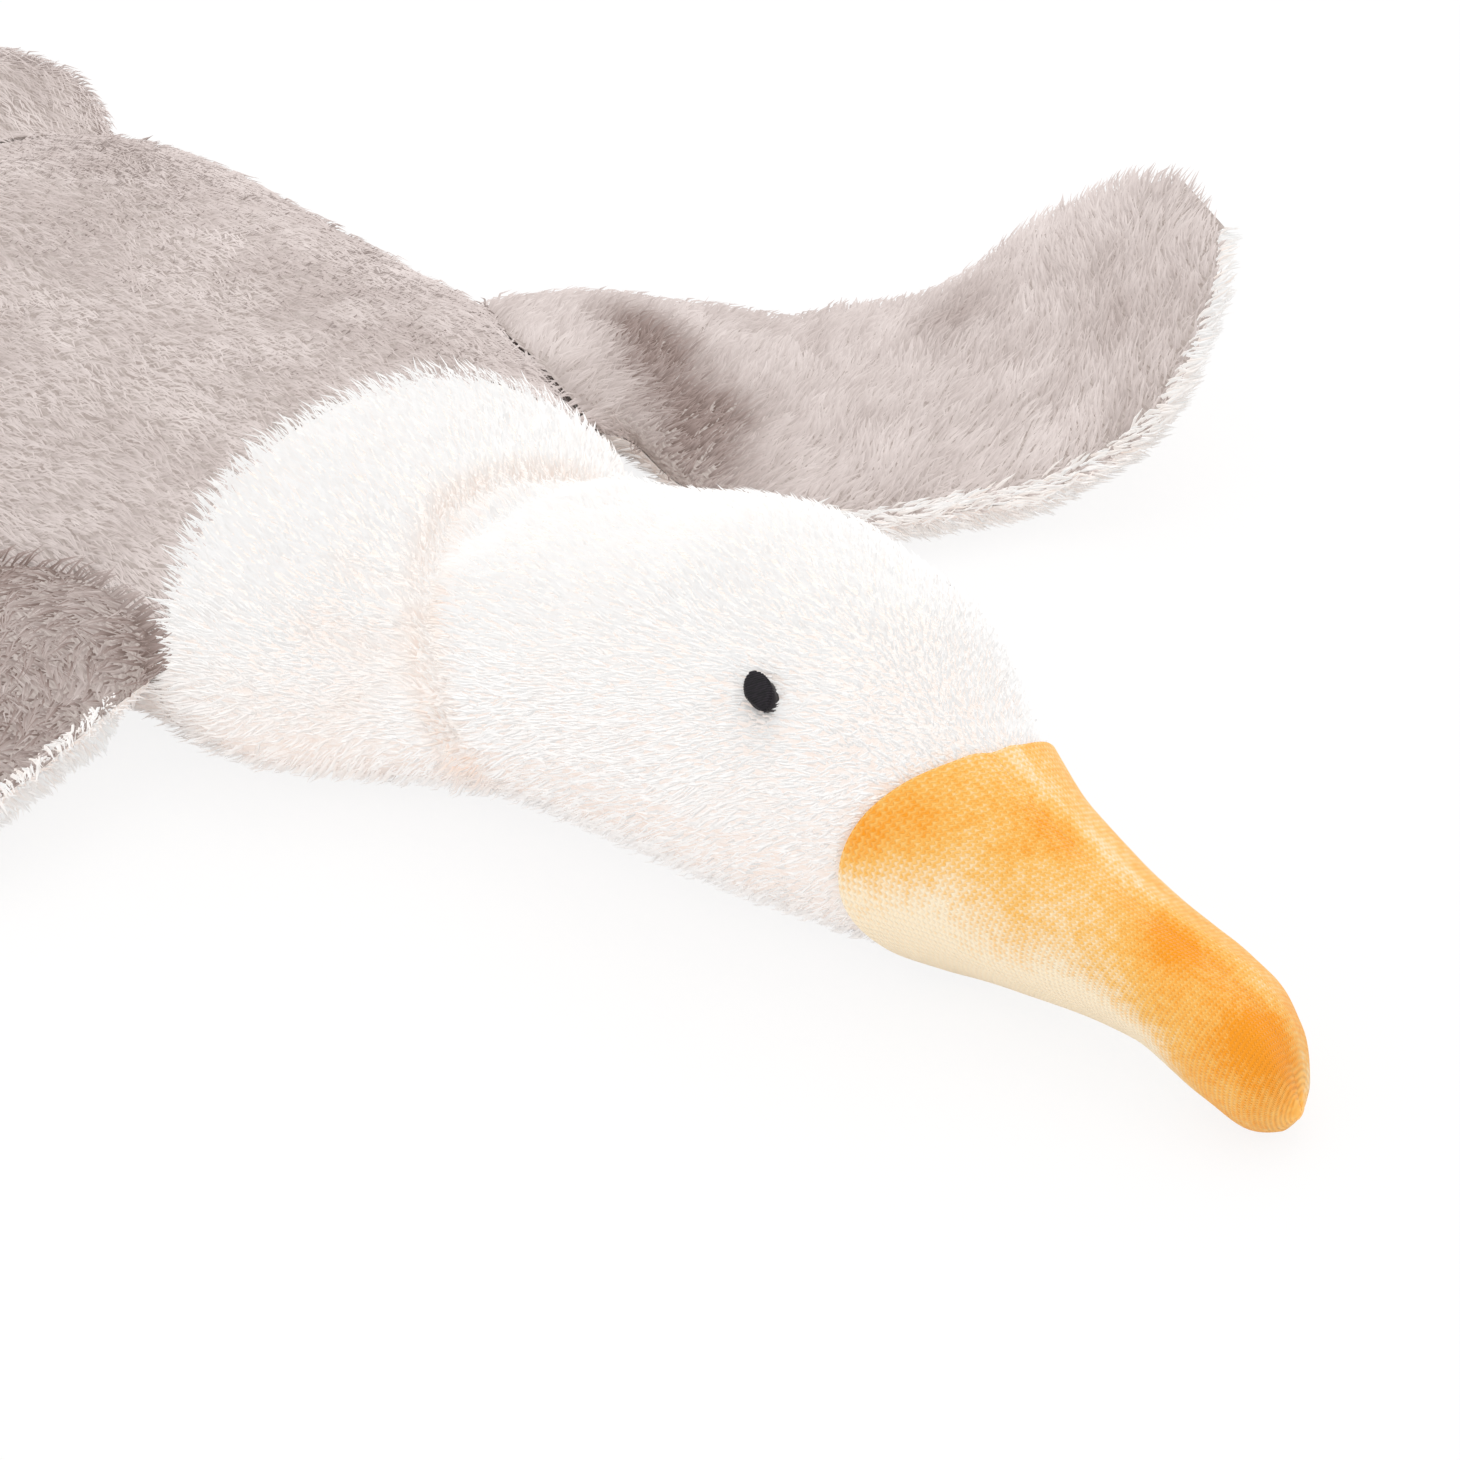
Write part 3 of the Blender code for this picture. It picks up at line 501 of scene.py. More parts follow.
class Shader:
    """A material's node tree, with short ways to add and join nodes."""

    def __init__(self, tree: bpy.types.NodeTree) -> None:
        """Works on a node tree."""
        self.tree = tree

    def node(self, kind: str, **settings: object) -> bpy.types.Node:
        """A new shader node of a kind, with its settings."""
        made = self.tree.nodes.new(f"ShaderNode{kind}")
        for name, value in settings.items():
            setattr(made, name, value)
        return made

    def join(self, source: Socket, target: Socket) -> None:
        """Joins an output to an input."""
        self.tree.links.new(source, target)

    def feed(self, target: Socket, value: Socket | Colour | float) -> None:
        """Joins an output to an input, or gives the input a value.

        Args:
            target: The input.
            value: An output, a number, a direction or a colour.
        """
        if isinstance(value, bpy.types.NodeSocket):
            self.join(value, target)
        else:
            target.default_value = (*value, 1.0) if target.type == "RGBA" else value

    def maths(
        self, operation: str, one: Socket | float, other: Socket | float = 0.0, clamp: bool = False
    ) -> Socket:
        """The result of a Math node on sockets or numbers.

        Args:
            operation: The node's operation.
            one: First socket or number.
            other: Second socket or number.
            clamp: Keeps the result from 0 to 1.

        Returns:
            The node's output.
        """
        made = self.node("Math", operation=operation, use_clamp=clamp)
        self.feed(made.inputs[0], one)
        self.feed(made.inputs[1], other)
        return made.outputs[0]

    def times(self, one: Socket, other: Socket | float) -> Socket:
        """One value times another."""
        return self.maths("MULTIPLY", one, other)

    def plus(self, one: Socket, other: Socket | float, clamp: bool = False) -> Socket:
        """The sum of two values, kept from 0 to 1 where it's clamped."""
        return self.maths("ADD", one, other, clamp)

    def less(self, start: float, value: Socket, share: float) -> Socket:
        """A number less a share of a value."""
        return self.maths("SUBTRACT", start, self.times(value, share))

    def swung(self, value: Socket, amount: float) -> Socket:
        """A value from 0 to 1 as a swing round 0, by an amount."""
        return self.times(self.maths("SUBTRACT", value, 0.5), amount)

    def mixed(self, share: Socket | float, one: Socket | Colour, other: Socket | Colour) -> Socket:
        """A colour between two, by a share from 0 to 1.

        Args:
            share: How much of the second colour.
            one: First colour or socket.
            other: Second colour or socket.

        Returns:
            The mixed colour's socket.
        """
        made = self.node("Mix", data_type="RGBA")
        for number, value in ((0, share), (6, one), (7, other)):
            self.feed(made.inputs[number], value)
        return made.outputs[2]

    def stepped(self, value: Socket, low: float, high: float) -> Socket:
        """A smooth step of a value.

        Args:
            value: The value.
            low: Under this the step is 0.
            high: Over this the step is 1.

        Returns:
            The step's socket.
        """
        made = self.node("MapRange", interpolation_type="SMOOTHSTEP")
        for number, given in enumerate((value, low, high)):
            self.feed(made.inputs[number], given)
        return made.outputs[0]

    def attribute(self, name: str) -> Socket:
        """The numbers that the mesh keeps under a name."""
        return self.node("Attribute", attribute_name=name).outputs["Fac"]

    def place(self) -> Socket:
        """The place on the object."""
        return self.node("TexCoord").outputs["Object"]

    def noise(self, place: Socket, scale: Socket | float, detail: float = 2.0) -> Socket:
        """The strength of a Noise Texture.

        Args:
            place: Where it's read.
            scale: How fine it is.
            detail: How many finer layers it has.

        Returns:
            The strength's socket.
        """
        made = self.node("TexNoise")
        for name, value in (("Vector", place), ("Scale", scale), ("Detail", detail)):
            self.feed(made.inputs[name], value)
        return made.outputs["Fac"]

    def vector(self, operation: str, *values: Socket) -> bpy.types.Node:
        """A Vector Math node on sockets."""
        made = self.node("VectorMath", operation=operation)
        for target, value in zip(made.inputs, values):
            self.join(value, target)
        return made

    def group(self, effect: "Effect", **values: object) -> bpy.types.Node:
        """A shared effect, with its own values for the group's inputs."""
        placed = self.node("Group", node_tree=effect.tree())
        for name, value in values.items():
            self.feed(placed.inputs[name.replace("_", " ")], value)
        return placed


class Effect(Enum):
    """The surface effects that several materials share, each a node group."""

    PILE = "pile_shade"
    STREAKS = "combed_streaks"
    PATCHES = "soft_patches"
    WEAVE = "cloth_weave"

    def tree(self) -> bpy.types.NodeTree:
        """The effect's node group, made the first time it is asked for."""
        return bpy.data.node_groups.get(self.value) or GROUP_MAKERS[self]()


def new_group(effect: Effect, inputs: dict[str, object], **outputs: str) -> tuple[Shader, Callable, Callable]:
    """Starts a node group.

    Args:
        effect: The effect that it makes.
        inputs: The inputs' names and default values.
        outputs: The outputs' names and kinds of socket.

    Returns:
        The group's shader helper, and what gives an input's and an output's socket by name.
    """
    tree = bpy.data.node_groups.new(effect.value, "ShaderNodeTree")
    kinds = {1: "Float", 3: "Vector", 4: "Color"}
    for label, value in inputs.items():
        kind = kinds[len(value) if isinstance(value, tuple) else 1]
        made = tree.interface.new_socket(label, in_out="INPUT", socket_type=f"NodeSocket{kind}")
        made.default_value = value
    for label, kind in outputs.items():
        tree.interface.new_socket(label, in_out="OUTPUT", socket_type=f"NodeSocket{kind}")
    entry, leave = tree.nodes.new("NodeGroupInput"), tree.nodes.new("NodeGroupOutput")
    return Shader(tree), entry.outputs.__getitem__, leave.inputs.__getitem__


def pile_group() -> bpy.types.NodeTree:
    """Colour along each strand, from root to tip, between a dark and a light yarn, darker at the root as
    painted shade deep in the pile.
    """
    yarns = dict.fromkeys(("Dark Root", "Dark Tip", "Light Root", "Light Tip"), (0.5, 0.5, 0.5, 1.0))
    shader, given, result = new_group(Effect.PILE, yarns, Color="Color", Roughness="Float")
    along, shade = shader.attribute("along"), shader.attribute("shade")
    root = shader.mixed(shade, given("Dark Root"), given("Light Root"))
    tip = shader.mixed(shade, given("Dark Tip"), given("Light Tip"))
    # painted shade: each strand darkens from its tip down to its root
    shader.join(shader.mixed(shader.stepped(along, 0.0, 0.85), root, tip), result("Color"))
    shader.join(shader.less(0.98, along, 0.2), result("Roughness"))
    return shader.tree


def streaks_group() -> bpy.types.NodeTree:
    """Fine streaks along the way that the pile is combed."""
    inputs = {"Comb": (1.0, 0.0, 0.0), "Fineness": 1500.0, "Stretch": 0.86}
    shader, given, result = new_group(Effect.STREAKS, inputs, Streak="Float", Height="Float")
    place, comb = shader.place(), given("Comb")
    run = shader.vector("SCALE", comb)
    along = shader.vector("DOT_PRODUCT", place, comb).outputs["Value"]
    shader.join(shader.times(along, given("Stretch")), run.inputs["Scale"])
    squeezed = shader.vector("SUBTRACT", place, run.outputs[0])
    noise = shader.noise(squeezed.outputs[0], given("Fineness"), 3.0)
    shader.join(shader.stepped(noise, 0.36, 0.66), result("Streak"))
    shader.join(noise, result("Height"))
    return shader.tree


def patches_group() -> bpy.types.NodeTree:
    """Soft, broad patches, where the cloth is lighter or darker."""
    shader, given, result = new_group(Effect.PATCHES, {"Fineness": 40.0, "Contrast": 0.5}, Patch="Float")
    noise = shader.noise(shader.place(), given("Fineness"), 4.0)
    spread = shader.times(shader.swung(noise, 4.0), given("Contrast"))
    shader.join(shader.plus(spread, 0.5, clamp=True), result("Patch"))
    return shader.tree


def weave_group() -> bpy.types.NodeTree:
    """Threads that cross over and under each other."""
    shader, given, result = new_group(Effect.WEAVE, {"Fineness": 1400.0}, Weave="Float")
    split = shader.node("SeparateXYZ")
    shader.join(shader.place(), split.inputs[0])
    waves = []
    for axis in (0, 1):
        angle = shader.times(split.outputs[axis], given("Fineness"))
        wobble = shader.times(shader.times(split.outputs[2], given("Fineness")), 0.3)
        waves.append(shader.maths("SINE", shader.plus(angle, wobble)))
    shader.join(shader.plus(shader.times(shader.times(*waves), 0.5), 0.5), result("Weave"))
    return shader.tree


GROUP_MAKERS = {
    Effect.PILE: pile_group,
    Effect.STREAKS: streaks_group,
    Effect.PATCHES: patches_group,
    Effect.WEAVE: weave_group,
}


class Finish:
    """A material made the first time it is asked for."""

    name: str

    def material(self) -> bpy.types.Material:
        """The finish's Blender material."""
        found = bpy.data.materials.get(self.name)
        if found:
            return found
        made = bpy.data.materials.new(self.name)
        made.use_nodes = True
        self.dress(Shader(made.node_tree), made.node_tree.nodes["Principled BSDF"].inputs)
        return made

    def dress(self, shader: Shader, surface: bpy.types.NodeInputs) -> None:
        """Adds the finish's nodes to a material.

        Args:
            shader: The material's node tree.
            surface: The inputs of its Principled BSDF.
        """
        raise NotImplementedError

    def bumped(self, shader: Shader, surface: bpy.types.NodeInputs, height: Socket, distance: float) -> None:
        """Joins a height to the surface through a Bump node.

        Args:
            shader: The material's node tree.
            surface: The inputs of its Principled BSDF.
            height: The height.
            distance: How high a height of 1 stands.
        """
        bump = shader.node("Bump")
        for name, value in (("Strength", 0.8), ("Distance", distance), ("Height", height)):
            shader.feed(bump.inputs[name], value)
        shader.join(bump.outputs[0], surface["Normal"])


@dataclass(frozen=True)
class PileFinish(Finish):
    """The plush's standing strands."""

    name: str
    dark_root: Colour
    dark_tip: Colour
    light_root: Colour
    light_tip: Colour

    def dress(self, shader: Shader, surface: bpy.types.NodeInputs) -> None:
        """Adds the strands' colours from root to tip, darker at the root as painted shade deep in the pile.
        """
        dark = {"Dark_Root": self.dark_root, "Dark_Tip": self.dark_tip}
        pile = shader.group(Effect.PILE, **dark, Light_Root=self.light_root, Light_Tip=self.light_tip)
        shader.join(pile.outputs["Color"], surface["Base Color"])
        shader.join(pile.outputs["Roughness"], surface["Roughness"])
        surface["Specular IOR Level"].default_value = 0.0


@dataclass(frozen=True)
class BackingFinish(Finish):
    """The cloth under the pile, with the shortest pile that lies on it."""

    name: str
    deep: Colour
    face: Colour
    comb: Direction

    def dress(self, shader: Shader, surface: bpy.types.NodeInputs) -> None:
        """Adds combed streaks and soft patches."""
        streaks = shader.group(Effect.STREAKS, Comb=self.comb)
        patches = shader.group(Effect.PATCHES, Fineness=60.0, Contrast=0.6)
        patch = shader.times(patches.outputs["Patch"], 0.35)
        share = shader.plus(shader.times(streaks.outputs["Streak"], 0.65), patch, clamp=True)
        shader.join(shader.mixed(share, self.deep, self.face), surface["Base Color"])
        shader.join(shader.less(1.0, share, 0.1), surface["Roughness"])
        surface["Specular IOR Level"].default_value = 0.1
        self.bumped(shader, surface, streaks.outputs["Height"], 0.8 * MM)


@dataclass(frozen=True)
class VelourFinish(Finish):
    """The beak's short ribbed velour, with painted sheen: paler where its nap lies towards the light."""

    name: str = "orange_velour_nap"
    pale_and_sheen: Colour = (0.98, 0.87, 0.66)
    middle: Colour = (0.96, 0.55, 0.140)
    deep: Colour = (0.95, 0.33, 0.010)
    rib: float = 1.0 * MM
    stitch: float = 1.1  # a stitch's length in ribs
    rib_depth: float = 0.28
    stitch_depth: float = 0.42

    def dress(self, shader: Shader, surface: bpy.types.NodeInputs) -> None:
        """Adds the nap's patches, the knitted ribs with painted shade in their grooves, and a soft sheen."""
        broad = shader.group(Effect.PATCHES, Fineness=75.0, Contrast=0.5).outputs["Patch"]
        fine = shader.group(Effect.PATCHES, Fineness=700.0, Contrast=0.9).outputs["Patch"]
        uneven = shader.plus(shader.swung(broad, 0.26), shader.swung(fine, 0.20))
        knit = self.knit(shader)
        nap = shader.plus(shader.attribute("tint"), uneven, clamp=True)
        # painted shade: deeper orange in the knit's grooves, paler on its ribs
        nap = shader.plus(nap, shader.swung(knit, -0.22), clamp=True)
        # the pale end is partly painted sheen
        pale_and_sheen = shader.mixed(shader.stepped(nap, -0.05, 0.60), self.pale_and_sheen, self.middle)
        shader.join(shader.mixed(shader.stepped(nap, 0.42, 1.05), pale_and_sheen, self.deep), surface["Base Color"])
        shader.join(shader.less(0.95, knit, 0.12), surface["Roughness"])
        surface["Specular IOR Level"].default_value = 0.15
        surface["Sheen Weight"].default_value = 0.25
        surface["Sheen Roughness"].default_value = 0.5
        self.bumped(shader, surface, knit, 0.28 * MM)

    def knit(self, shader: Shader) -> Socket:
        """The knitted rows: ribs round the beak, broken into short stitches along them."""
        wander = shader.swung(shader.noise(shader.place(), 260.0), 3.0)
        turns = shader.times(shader.attribute("rib_place"), WHOLE_TURN / self.rib)
        ribs = shader.maths("SINE", shader.plus(turns, wander))
        along = shader.times(shader.attribute("stitch_place"), WHOLE_TURN / (self.stitch * self.rib))
        dots = shader.maths("SINE", shader.plus(along, shader.times(ribs, 1.2)))
        both = shader.plus(shader.times(ribs, self.rib_depth), shader.times(dots, self.stitch_depth))
        return shader.plus(shader.times(both, shader.attribute("knit_depth")), 0.5, clamp=True)


@dataclass(frozen=True)
class WovenFinish(Finish):
    """Plain woven cotton or tape."""

    name: str
    dark: Colour
    light: Colour
    fineness: float = 2600.0

    def dress(self, shader: Shader, surface: bpy.types.NodeInputs) -> None:
        """Adds the crossing threads and soft patches."""
        weave = shader.group(Effect.WEAVE, Fineness=self.fineness).outputs["Weave"]
        patches = shader.group(Effect.PATCHES, Fineness=90.0, Contrast=0.4)
        patch = shader.times(patches.outputs["Patch"], 0.4)
        share = shader.plus(shader.times(weave, 0.6), patch, clamp=True)
        shader.join(shader.mixed(share, self.dark, self.light), surface["Base Color"])
        shader.join(shader.less(0.98, share, 0.15), surface["Roughness"])
        surface["Specular IOR Level"].default_value = 0.2
        self.bumped(shader, surface, weave, 0.15 * MM)


@dataclass(frozen=True)
class WoolFinish(Finish):
    """Loose carded wool."""

    name: str = "carded_wool"
    dark: Colour = (0.74, 0.68, 0.57)
    light: Colour = (0.93, 0.90, 0.82)

    def dress(self, shader: Shader, surface: bpy.types.NodeInputs) -> None:
        """Adds crossing streaks of fibre."""
        one = shader.group(Effect.STREAKS, Comb=(0.8, 0.6, 0.0), Fineness=700.0).outputs
        other = shader.group(Effect.STREAKS, Comb=(0.3, -0.8, 0.52), Fineness=900.0).outputs
        share = shader.times(shader.plus(one["Streak"], other["Streak"]), 0.5)
        shader.join(shader.mixed(share, self.dark, self.light), surface["Base Color"])
        surface["Roughness"].default_value = 1.0
        surface["Specular IOR Level"].default_value = 0.1
        self.bumped(shader, surface, shader.times(one["Height"], other["Height"]), 1.5 * MM)


@dataclass(frozen=True)
class ThreadFinish(Finish):
    """Satin-stitch thread, glossy along its crown."""

    name: str
    dark: Colour
    light: Colour
    roughness: float = 0.5

    def dress(self, shader: Shader, surface: bpy.types.NodeInputs) -> None:
        """Adds the thread's twist."""
        twist = shader.group(Effect.STREAKS, Comb=(0.6, 0.6, 0.53), Fineness=2600.0, Stretch=0.7).outputs
        shader.join(shader.mixed(twist["Streak"], self.dark, self.light), surface["Base Color"])
        shader.join(shader.plus(shader.times(twist["Streak"], 0.15), self.roughness), surface["Roughness"])
        surface["Specular IOR Level"].default_value = 0.3
        self.bumped(shader, surface, twist["Height"], 0.1 * MM)


@dataclass(frozen=True)
class Plush:
    """One colour of plush: its strands, the cloth under them and its material slot."""

    pile: PileFinish
    backing: BackingFinish
    slot: str


GREY_COMB = (0.97, -0.20, -0.12)
WHITE_COMB = (-0.95, -0.25, -0.15)
# Each yarn is darker at the root than at the tip: painted shade deep in the pile.
GREY = Plush(
    PileFinish(
        "grey_pile", (0.19, 0.138, 0.121), (0.38, 0.300, 0.278), (0.70, 0.622, 0.600), (0.80, 0.722, 0.702)
    ),
    BackingFinish("grey_backing", (0.36, 0.300, 0.278), (0.56, 0.498, 0.472), GREY_COMB),
    "grey_plush",
)
# The white's dark yarn is peach; the neck's painted shade is drawn in it.
WHITE = Plush(
    PileFinish(
        "white_pile", (0.95, 0.62, 0.44), (0.96, 0.80, 0.68), (0.952, 0.947, 0.946), (0.952, 0.952, 0.952)
    ),
    BackingFinish("white_backing", (0.92, 0.82, 0.76), (0.952, 0.930, 0.915), WHITE_COMB),
    "white_plush",
)
VELOUR_NAP = VelourFinish()
BLACK_THREAD = ThreadFinish("black_satin", (0.004, 0.003, 0.005), (0.016, 0.012, 0.018), 0.42)
COTTON = WovenFinish("pocket_cotton", (0.66, 0.60, 0.49), (0.88, 0.84, 0.75))
TAPE = WovenFinish("fastening_tape", (0.78, 0.77, 0.74), (0.93, 0.92, 0.90), 1800.0)
WOOL = WoolFinish()


def claimed(
    piece: bpy.types.Object, finish: Finish, slot: str, *nodes: str, fill: float | None = None
) -> bpy.types.Object:
    """Gives a piece its material and ties it to the frame.

    Args:
        piece: The new piece.
        finish: Its finish.
        slot: The record's material slot; not used.
        nodes: The CAD nodes that it stands for.
        fill: How full it is stuffed, where it is padded; not used.

    Returns:
        The piece.
    """
    piece.data.materials.clear()
    piece.data.materials.append(finish.material())
    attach(piece, BODY)
    if nodes:
        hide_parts(*nodes)
    return piece


def linked(name: str, data: bpy.types.ID) -> bpy.types.Object:
    """A new object in the scene."""
    made = bpy.data.objects.new(name, data)
    bpy.context.scene.collection.objects.link(made)
    return made


def mesh_object(name: str, points: Array, faces: Array, smooth: bool = True) -> bpy.types.Object:
    """A new object from points and faces of one size.

    Args:
        name: The object's name.
        points: The vertices.
        faces: The vertices of each face, one face a row.
        smooth: Whether it is shaded smooth.

    Returns:
        The object, linked to the scene.
    """
    mesh = bpy.data.meshes.new(name)
    count, corners = faces.shape
    mesh.vertices.add(len(points))
    mesh.vertices.foreach_set("co", np.ascontiguousarray(points, np.float32).ravel())
    mesh.loops.add(count * corners)
    mesh.loops.foreach_set("vertex_index", np.ascontiguousarray(faces, np.int32).ravel())
    mesh.polygons.add(count)
    mesh.polygons.foreach_set("loop_start", np.arange(0, count * corners, corners, dtype=np.int32))
    mesh.update(calc_edges=True)
    mesh.polygons.foreach_set("use_smooth", np.full(count, smooth))
    return linked(name, mesh)


def painted(piece: bpy.types.Object, name: str, values: Array) -> None:
    """Keeps one number for each vertex, for the material to read."""
    made = piece.data.attributes.new(name, "FLOAT", "POINT")
    made.data.foreach_set("value", np.ascontiguousarray(values, np.float32).ravel())


def sheet_between(name: str, outer: Array, inner: Array) -> bpy.types.Object:
    """The closed sheet between two matching grids of points.

    Args:
        name: The object's name.
        outer: The outer grid.
        inner: The inner grid.

    Returns:
        The object, its faces turned outwards.
    """
    rows, columns = outer.shape[:2]
    index = np.arange(rows * columns).reshape(rows, columns)
    quads = np.stack([index[:-1, :-1], index[1:, :-1], index[1:, 1:], index[:-1, 1:]], axis=-1)
    quads = quads.reshape(-1, 4)
    rim = np.concatenate([index[0, :-1], index[:-1, -1], index[-1, :0:-1], index[:0:-1, 0]])
    ahead = np.roll(rim, -1)
    size = rows * columns
    walls = np.stack([rim, ahead, ahead + size, rim + size], axis=-1)
    faces = np.concatenate([quads, quads[:, ::-1] + size, walls])
    made = mesh_object(name, np.concatenate([outer.reshape(-1, 3), inner.reshape(-1, 3)]), faces)
    turned_outwards(made)
    made.data.set_sharp_from_angle(angle=math.radians(60))
    return made


def turned_outwards(piece: bpy.types.Object, filled: bool = False) -> None:
    """Turns a mesh's faces outwards.

    Args:
        piece: The piece.
        filled: Whether its holes are filled first.
    """
    bm = bmesh.new()
    bm.from_mesh(piece.data)
    if filled:
        bmesh.ops.holes_fill(bm, edges=bm.edges)
    bmesh.ops.recalc_face_normals(bm, faces=bm.faces)
    bm.to_mesh(piece.data)
    bm.free()


def strand_faces(levels: int, count: int) -> Array:
    """The triangles of closed strands, each with rings of three points and a tip.

    Args:
        levels: How many rings each strand has.
        count: How many strands.

    Returns:
        The points of each triangle.
    """
    size, top = 3 * levels + 1, 3 * (levels - 1)
    faces = [(0, 2, 1)]
    for j in range(3):
        k = (j + 1) % 3
        for low in range(0, top, 3):
            high = low + 3
            faces += [(low + j, low + k, high + k), (low + j, high + k, high + j)]
        faces.append((top + j, top + k, size - 1))
    return (np.array(faces)[None] + (np.arange(count) * size)[:, None, None]).reshape(-1, 3)


class Strand(Enum):
    """The kinds of strand that a pile is made of."""

    SPIKE = 1  # straight to its tip
    LOCK = 2  # bends once on the way


@dataclass(frozen=True)
class Layer:
    """The strands of one layer of a pile."""

    count: int
    strand: Strand
    length: float
    width: float
    seed: int
    rise: tuple[float, float] = (38.0, 2.0)  # degrees off the cloth at the root and at the tip


@dataclass
class Pile:
    """Standing pile on a patch: thin closed strands, combed and drawn together in clumps."""

    name: str
    patch: Patch
    layer: Layer
    comb: Rule
    plush: Plush
    shade: Rule
    swirl: float = 17.0  # degrees that the combing wanders
    ruffle: float = 14.0  # degrees by which strands differ
    clump: float = 3.2 * MM
    drawn: float = 0.58  # how far tips are drawn to their clump's middle
    inset: float = BACKING
    trim: Rule | None = None  # the share of its length that a strand keeps
    mottle: float = 0.06  # how much the strands differ in shade
    roundness: float = 0.5  # how far each strand shades as a rod, not as part of the cloth
    skylit: float = 0.3  # how far the shading leans to the sky, as light that wanders through pile does

    SHORTEST = 0.12  # a strand that keeps less of its length is left out
    LENGTHS = (0.7, 1.25)  # the shortest and the longest strand, against the layer's length
    WIDTHS = (0.75, 1.3)
    ROOTED = 0.4 * MM  # how far under the cloth's face a strand starts
    RISE_SPREAD = 9.0  # degrees by which the strands' rise differs
    BEND = 0.18
    CREST = 0.55  # a strand's height against its width
    BAKE_SHADE = (0.02, 0.96)  # where the shades start and how far they run in the baked picture
    BAKE_ALONG = (0.03, 0.94)
    BAKE_WIDTH = 0.003

    def build(self) -> bpy.types.Object:
        """Makes the pile's mesh.

        Returns:
            The pile as one object.
        """
        layer = self.layer
        rng = np.random.default_rng(layer.seed)
        u, v = self.patch.scattered(layer.count, rng, self.inset)
        root, out = self.patch.framed(u, v, self.inset)
        kept = self.trim(root) if self.trim else np.ones(len(root))
        chosen = kept > self.SHORTEST
        root, out, kept = root[chosen], out[chosen], kept[chosen]
        comb, side = self.combed(root, out, rng)
        length = layer.length * kept * rng.uniform(*self.LENGTHS, len(root))
        tip, middle = self.bent(root, out, comb, length, rng)
        tip = self.clumped(root, tip)
        width = layer.width * rng.uniform(*self.WIDTHS, len(root))[:, None]
        start = root - out * self.ROOTED
        rings = [self.ring(start, side, out, width)]
        steps = [0.0]
        if layer.strand is Strand.LOCK:
            middle = middle + (tip - (root + (middle - root) * 2)) * self.BEND
            rings.append(self.ring(middle, side, out, width * 0.9))
            steps.append(0.5)
        shade = np.clip(self.shade(root) + rng.normal(0, self.mottle, len(root)), 0, 1)
        soft = out + np.array((0.0, 0.0, self.skylit))
        leaning = [unit(soft + self.roundness * way) for way in (-side, side, out)]
        normals = np.stack(leaning * len(rings) + [unit(soft)], axis=1)
        return self.meshed(rings, tip, steps, shade, normals)

    def combed(self, root: Array, out: Array, rng: np.random.Generator) -> tuple[Array, Array]:
        """The ways that the strands lie on the cloth and across it.

        Args:
            root: The strands' roots.
            out: The cloth's outward directions there.
            rng: Source of the ruffle.

        Returns:
            The directions along and across the strands.
        """
        lay = self.comb(root)
        lay = unit(lay - out * np.sum(lay * out, axis=-1, keepdims=True) + 1e-9)
        seed = self.layer.seed
        wander = lattice_noise(root, 0.016, seed + 11) + 0.6 * lattice_noise(root, 0.006, seed + 12)
        angle = np.radians(self.swirl * wander + rng.normal(0, self.ruffle, len(root)))[:, None]
        across = np.cross(out, lay)
        comb = lay * np.cos(angle) + across * np.sin(angle)
        return comb, np.cross(out, comb)

    def bent(
        self, root: Array, out: Array, comb: Array, length: Array, rng: np.random.Generator
    ) -> tuple[Array, Array]:
        """Where the strands' tips and middles are.

        Args:
            root: The strands' roots.
            out: The cloth's outward directions there.
            comb: The way each strand lies.
            length: The strands' lengths.
            rng: Source of the differences.

        Returns:
            The tips and the middles.
        """
        spread = self.RISE_SPREAD
        rises = [np.radians(rise + rng.normal(0, spread, len(root)))[:, None] for rise in self.layer.rise]
        first, last = rises
        half = length[:, None] / 2
        middle = root + half * (comb * np.cos(first) + out * np.sin(first))
        return middle + half * (comb * np.cos(last) + out * np.sin(last)), middle

    def clumped(self, root: Array, tip: Array) -> Array:
        """The tips drawn towards the middle of their clump's tips."""
        seeds = self.layer.seed + np.array((21, 22, 23))
        warp = np.stack([lattice_noise(root, self.clump * 1.7, int(seed)) for seed in seeds], axis=-1)
        cell = np.floor((root + warp * self.clump * 0.8) / self.clump).astype(np.int64)
        key = (cell[:, 0] * 4096 + cell[:, 1]) * 4096 + cell[:, 2]
        _, member, size = np.unique(key, return_inverse=True, return_counts=True)
        member = member.ravel()
        centre = np.stack([np.bincount(member, tip[:, k]) for k in range(3)], axis=-1) / size[:, None]
        return tip + (centre[member] - tip) * self.drawn

    @staticmethod
    def ring(middle: Array, side: Array, out: Array, width: Array) -> Array:
        """The three points round a strand."""
        half = side * width / 2
        return np.stack([middle - half, middle + half, middle + out * width * Pile.CREST], axis=1)

